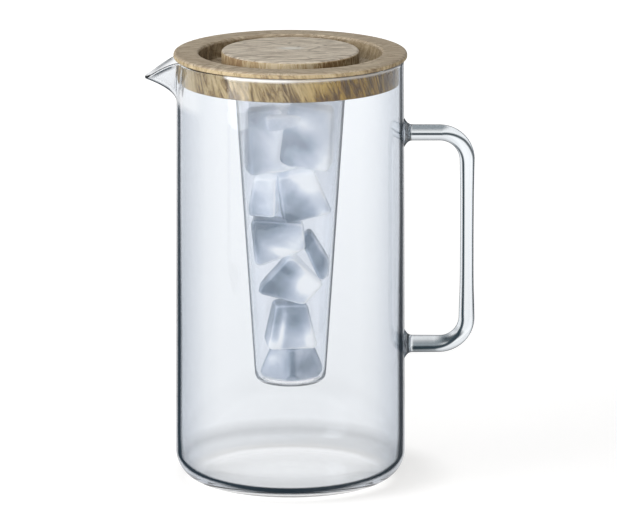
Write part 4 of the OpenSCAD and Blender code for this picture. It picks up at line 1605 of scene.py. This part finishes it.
def studio_lamps(settings):
    """Soft lamps in front and on the left. The strip stands upright and is the one that glass shows."""
    target = Vector((0, 0, 0.12))
    strip_z = 0.5
    # Name, azimuth and elevation (degrees), distance, width and height (m), power
    for name, azimuth, elevation, distance, width, height, energy in (
        ("key", 72, 40, 1.6, 1.2, 1.2, settings.key_power),
        ("front", 10, 17, 2.2, 1.0, 0.7, settings.front_power),
        ("strip", 53, 8, 0.85, 0.34, 0.9, settings.strip_power),
    ):
        lamp = bpy.data.lights.new(name, "AREA")
        lamp.shape = "RECTANGLE"
        lamp.size = width
        lamp.size_y = height
        lamp.energy = energy
        holder = placed(name, lamp)
        a, e = math.radians(azimuth), math.radians(elevation)
        offset = Vector((-math.sin(a) * math.cos(e), -math.cos(a) * math.cos(e), math.sin(e))) * distance
        holder.location = target + offset
        if name == "strip":
            holder.location.z = strip_z
            offset.z = 0.0
        else:
            # They would show as white cards in the floor of the jug
            holder.visible_glossy = False
            holder.visible_transmission = False
        holder.rotation_euler = (-offset).to_track_quat("-Z", "Y").to_euler()


def studio_camera():
    """The camera at the photograph's place, far off with a long lens."""
    camera = bpy.data.cameras.new("camera")
    camera.lens = 483.2
    camera.sensor_width = 36.0
    camera.clip_start = 0.1
    camera.clip_end = 80.0
    viewer = placed("camera", camera)
    eye = Vector((9.81, -4393.8, 1089.9)) * MM
    aim = Vector((9.81, 0, 118.15)) * MM
    viewer.location = eye
    viewer.rotation_euler = (aim - eye).to_track_quat("-Z", "Y").to_euler()
    return viewer


class PITCHER_OT_stage(bpy.types.Operator):
    """Sets the white floor, the soft light and the camera"""

    bl_idname = "pitcher.stage"
    bl_label = "Build stage"

    def execute(self, context):
        scene = context.scene
        settings = scene.pitcher_stage
        far, below = 30.0, 0.0002
        mesh = bpy.data.meshes.new("floor")
        mesh.from_pydata([(-far, -far, 0), (far, -far, 0), (far, far, 0), (-far, far, 0)], [], [(0, 1, 2, 3)])
        floor = placed("floor", mesh)
        floor.location.z = -below
        mesh.materials.append(floor_material())
        scene.world = studio_world(settings.ambient)
        studio_lamps(settings)
        scene.camera = studio_camera()
        scene.view_settings.view_transform = "Standard"
        # Light zigzags inside the thick floor of the jug, which goes dark with fewer bounces
        scene.cycles.max_bounces = 40
        scene.cycles.transmission_bounces = 32
        scene.cycles.glossy_bounces = 32
        scene.cycles.transparent_max_bounces = 24
        return {"FINISHED"}


class PITCHER_PT_panel(bpy.types.Panel):
    """Lists the pitcher's pieces and their settings"""

    bl_label = "Pitcher"
    bl_idname = "PITCHER_PT_panel"
    bl_space_type = "VIEW_3D"
    bl_region_type = "UI"
    bl_category = "Pitcher"

    def draw(self, context):
        for settings, operator in PANEL_ROWS:
            column = self.layout.column()
            if settings:
                group = getattr(context.scene, settings)
                for name in group.__annotations__:
                    column.prop(group, name)
            column.operator(operator)


PANEL_ROWS = (
    ("pitcher_stage", "pitcher.stage"),
    ("pitcher_jug", "pitcher.jug"),
    ("pitcher_handle", "pitcher.handle"),
    ("pitcher_wood", "pitcher.lid"),
    (None, "pitcher.knob"),
    (None, "pitcher.seals"),
    (None, "pitcher.core"),
    ("pitcher_ice", "pitcher.ice"),
)
SETTINGS = (
    ("pitcher_jug", PitcherJugSettings),
    ("pitcher_handle", PitcherHandleSettings),
    ("pitcher_wood", PitcherWoodSettings),
    ("pitcher_ice", PitcherIceSettings),
    ("pitcher_stage", PitcherStageSettings),
)
OPERATORS = (
    PITCHER_OT_stage,
    PITCHER_OT_jug,
    PITCHER_OT_handle,
    PITCHER_OT_lid,
    PITCHER_OT_knob,
    PITCHER_OT_seals,
    PITCHER_OT_core,
    PITCHER_OT_ice,
)


def register():
    for name, group in SETTINGS:
        bpy.utils.register_class(group)
        setattr(bpy.types.Scene, name, bpy.props.PointerProperty(type=group))
    for operator in OPERATORS:
        bpy.utils.register_class(operator)
    bpy.utils.register_class(PITCHER_PT_panel)


def unregister():
    bpy.utils.unregister_class(PITCHER_PT_panel)
    for operator in reversed(OPERATORS):
        bpy.utils.unregister_class(operator)
    for name, group in reversed(SETTINGS):
        delattr(bpy.types.Scene, name)
        bpy.utils.unregister_class(group)


def main():
    register()
    bpy.ops.pitcher.stage()
    bpy.ops.pitcher.jug()
    bpy.ops.pitcher.handle()
    bpy.ops.pitcher.lid()
    bpy.ops.pitcher.knob()
    bpy.ops.pitcher.seals()
    bpy.ops.pitcher.core()
    bpy.ops.pitcher.ice()
    bpy.context.view_layer.update()


if __name__ == "__main__":
    main()
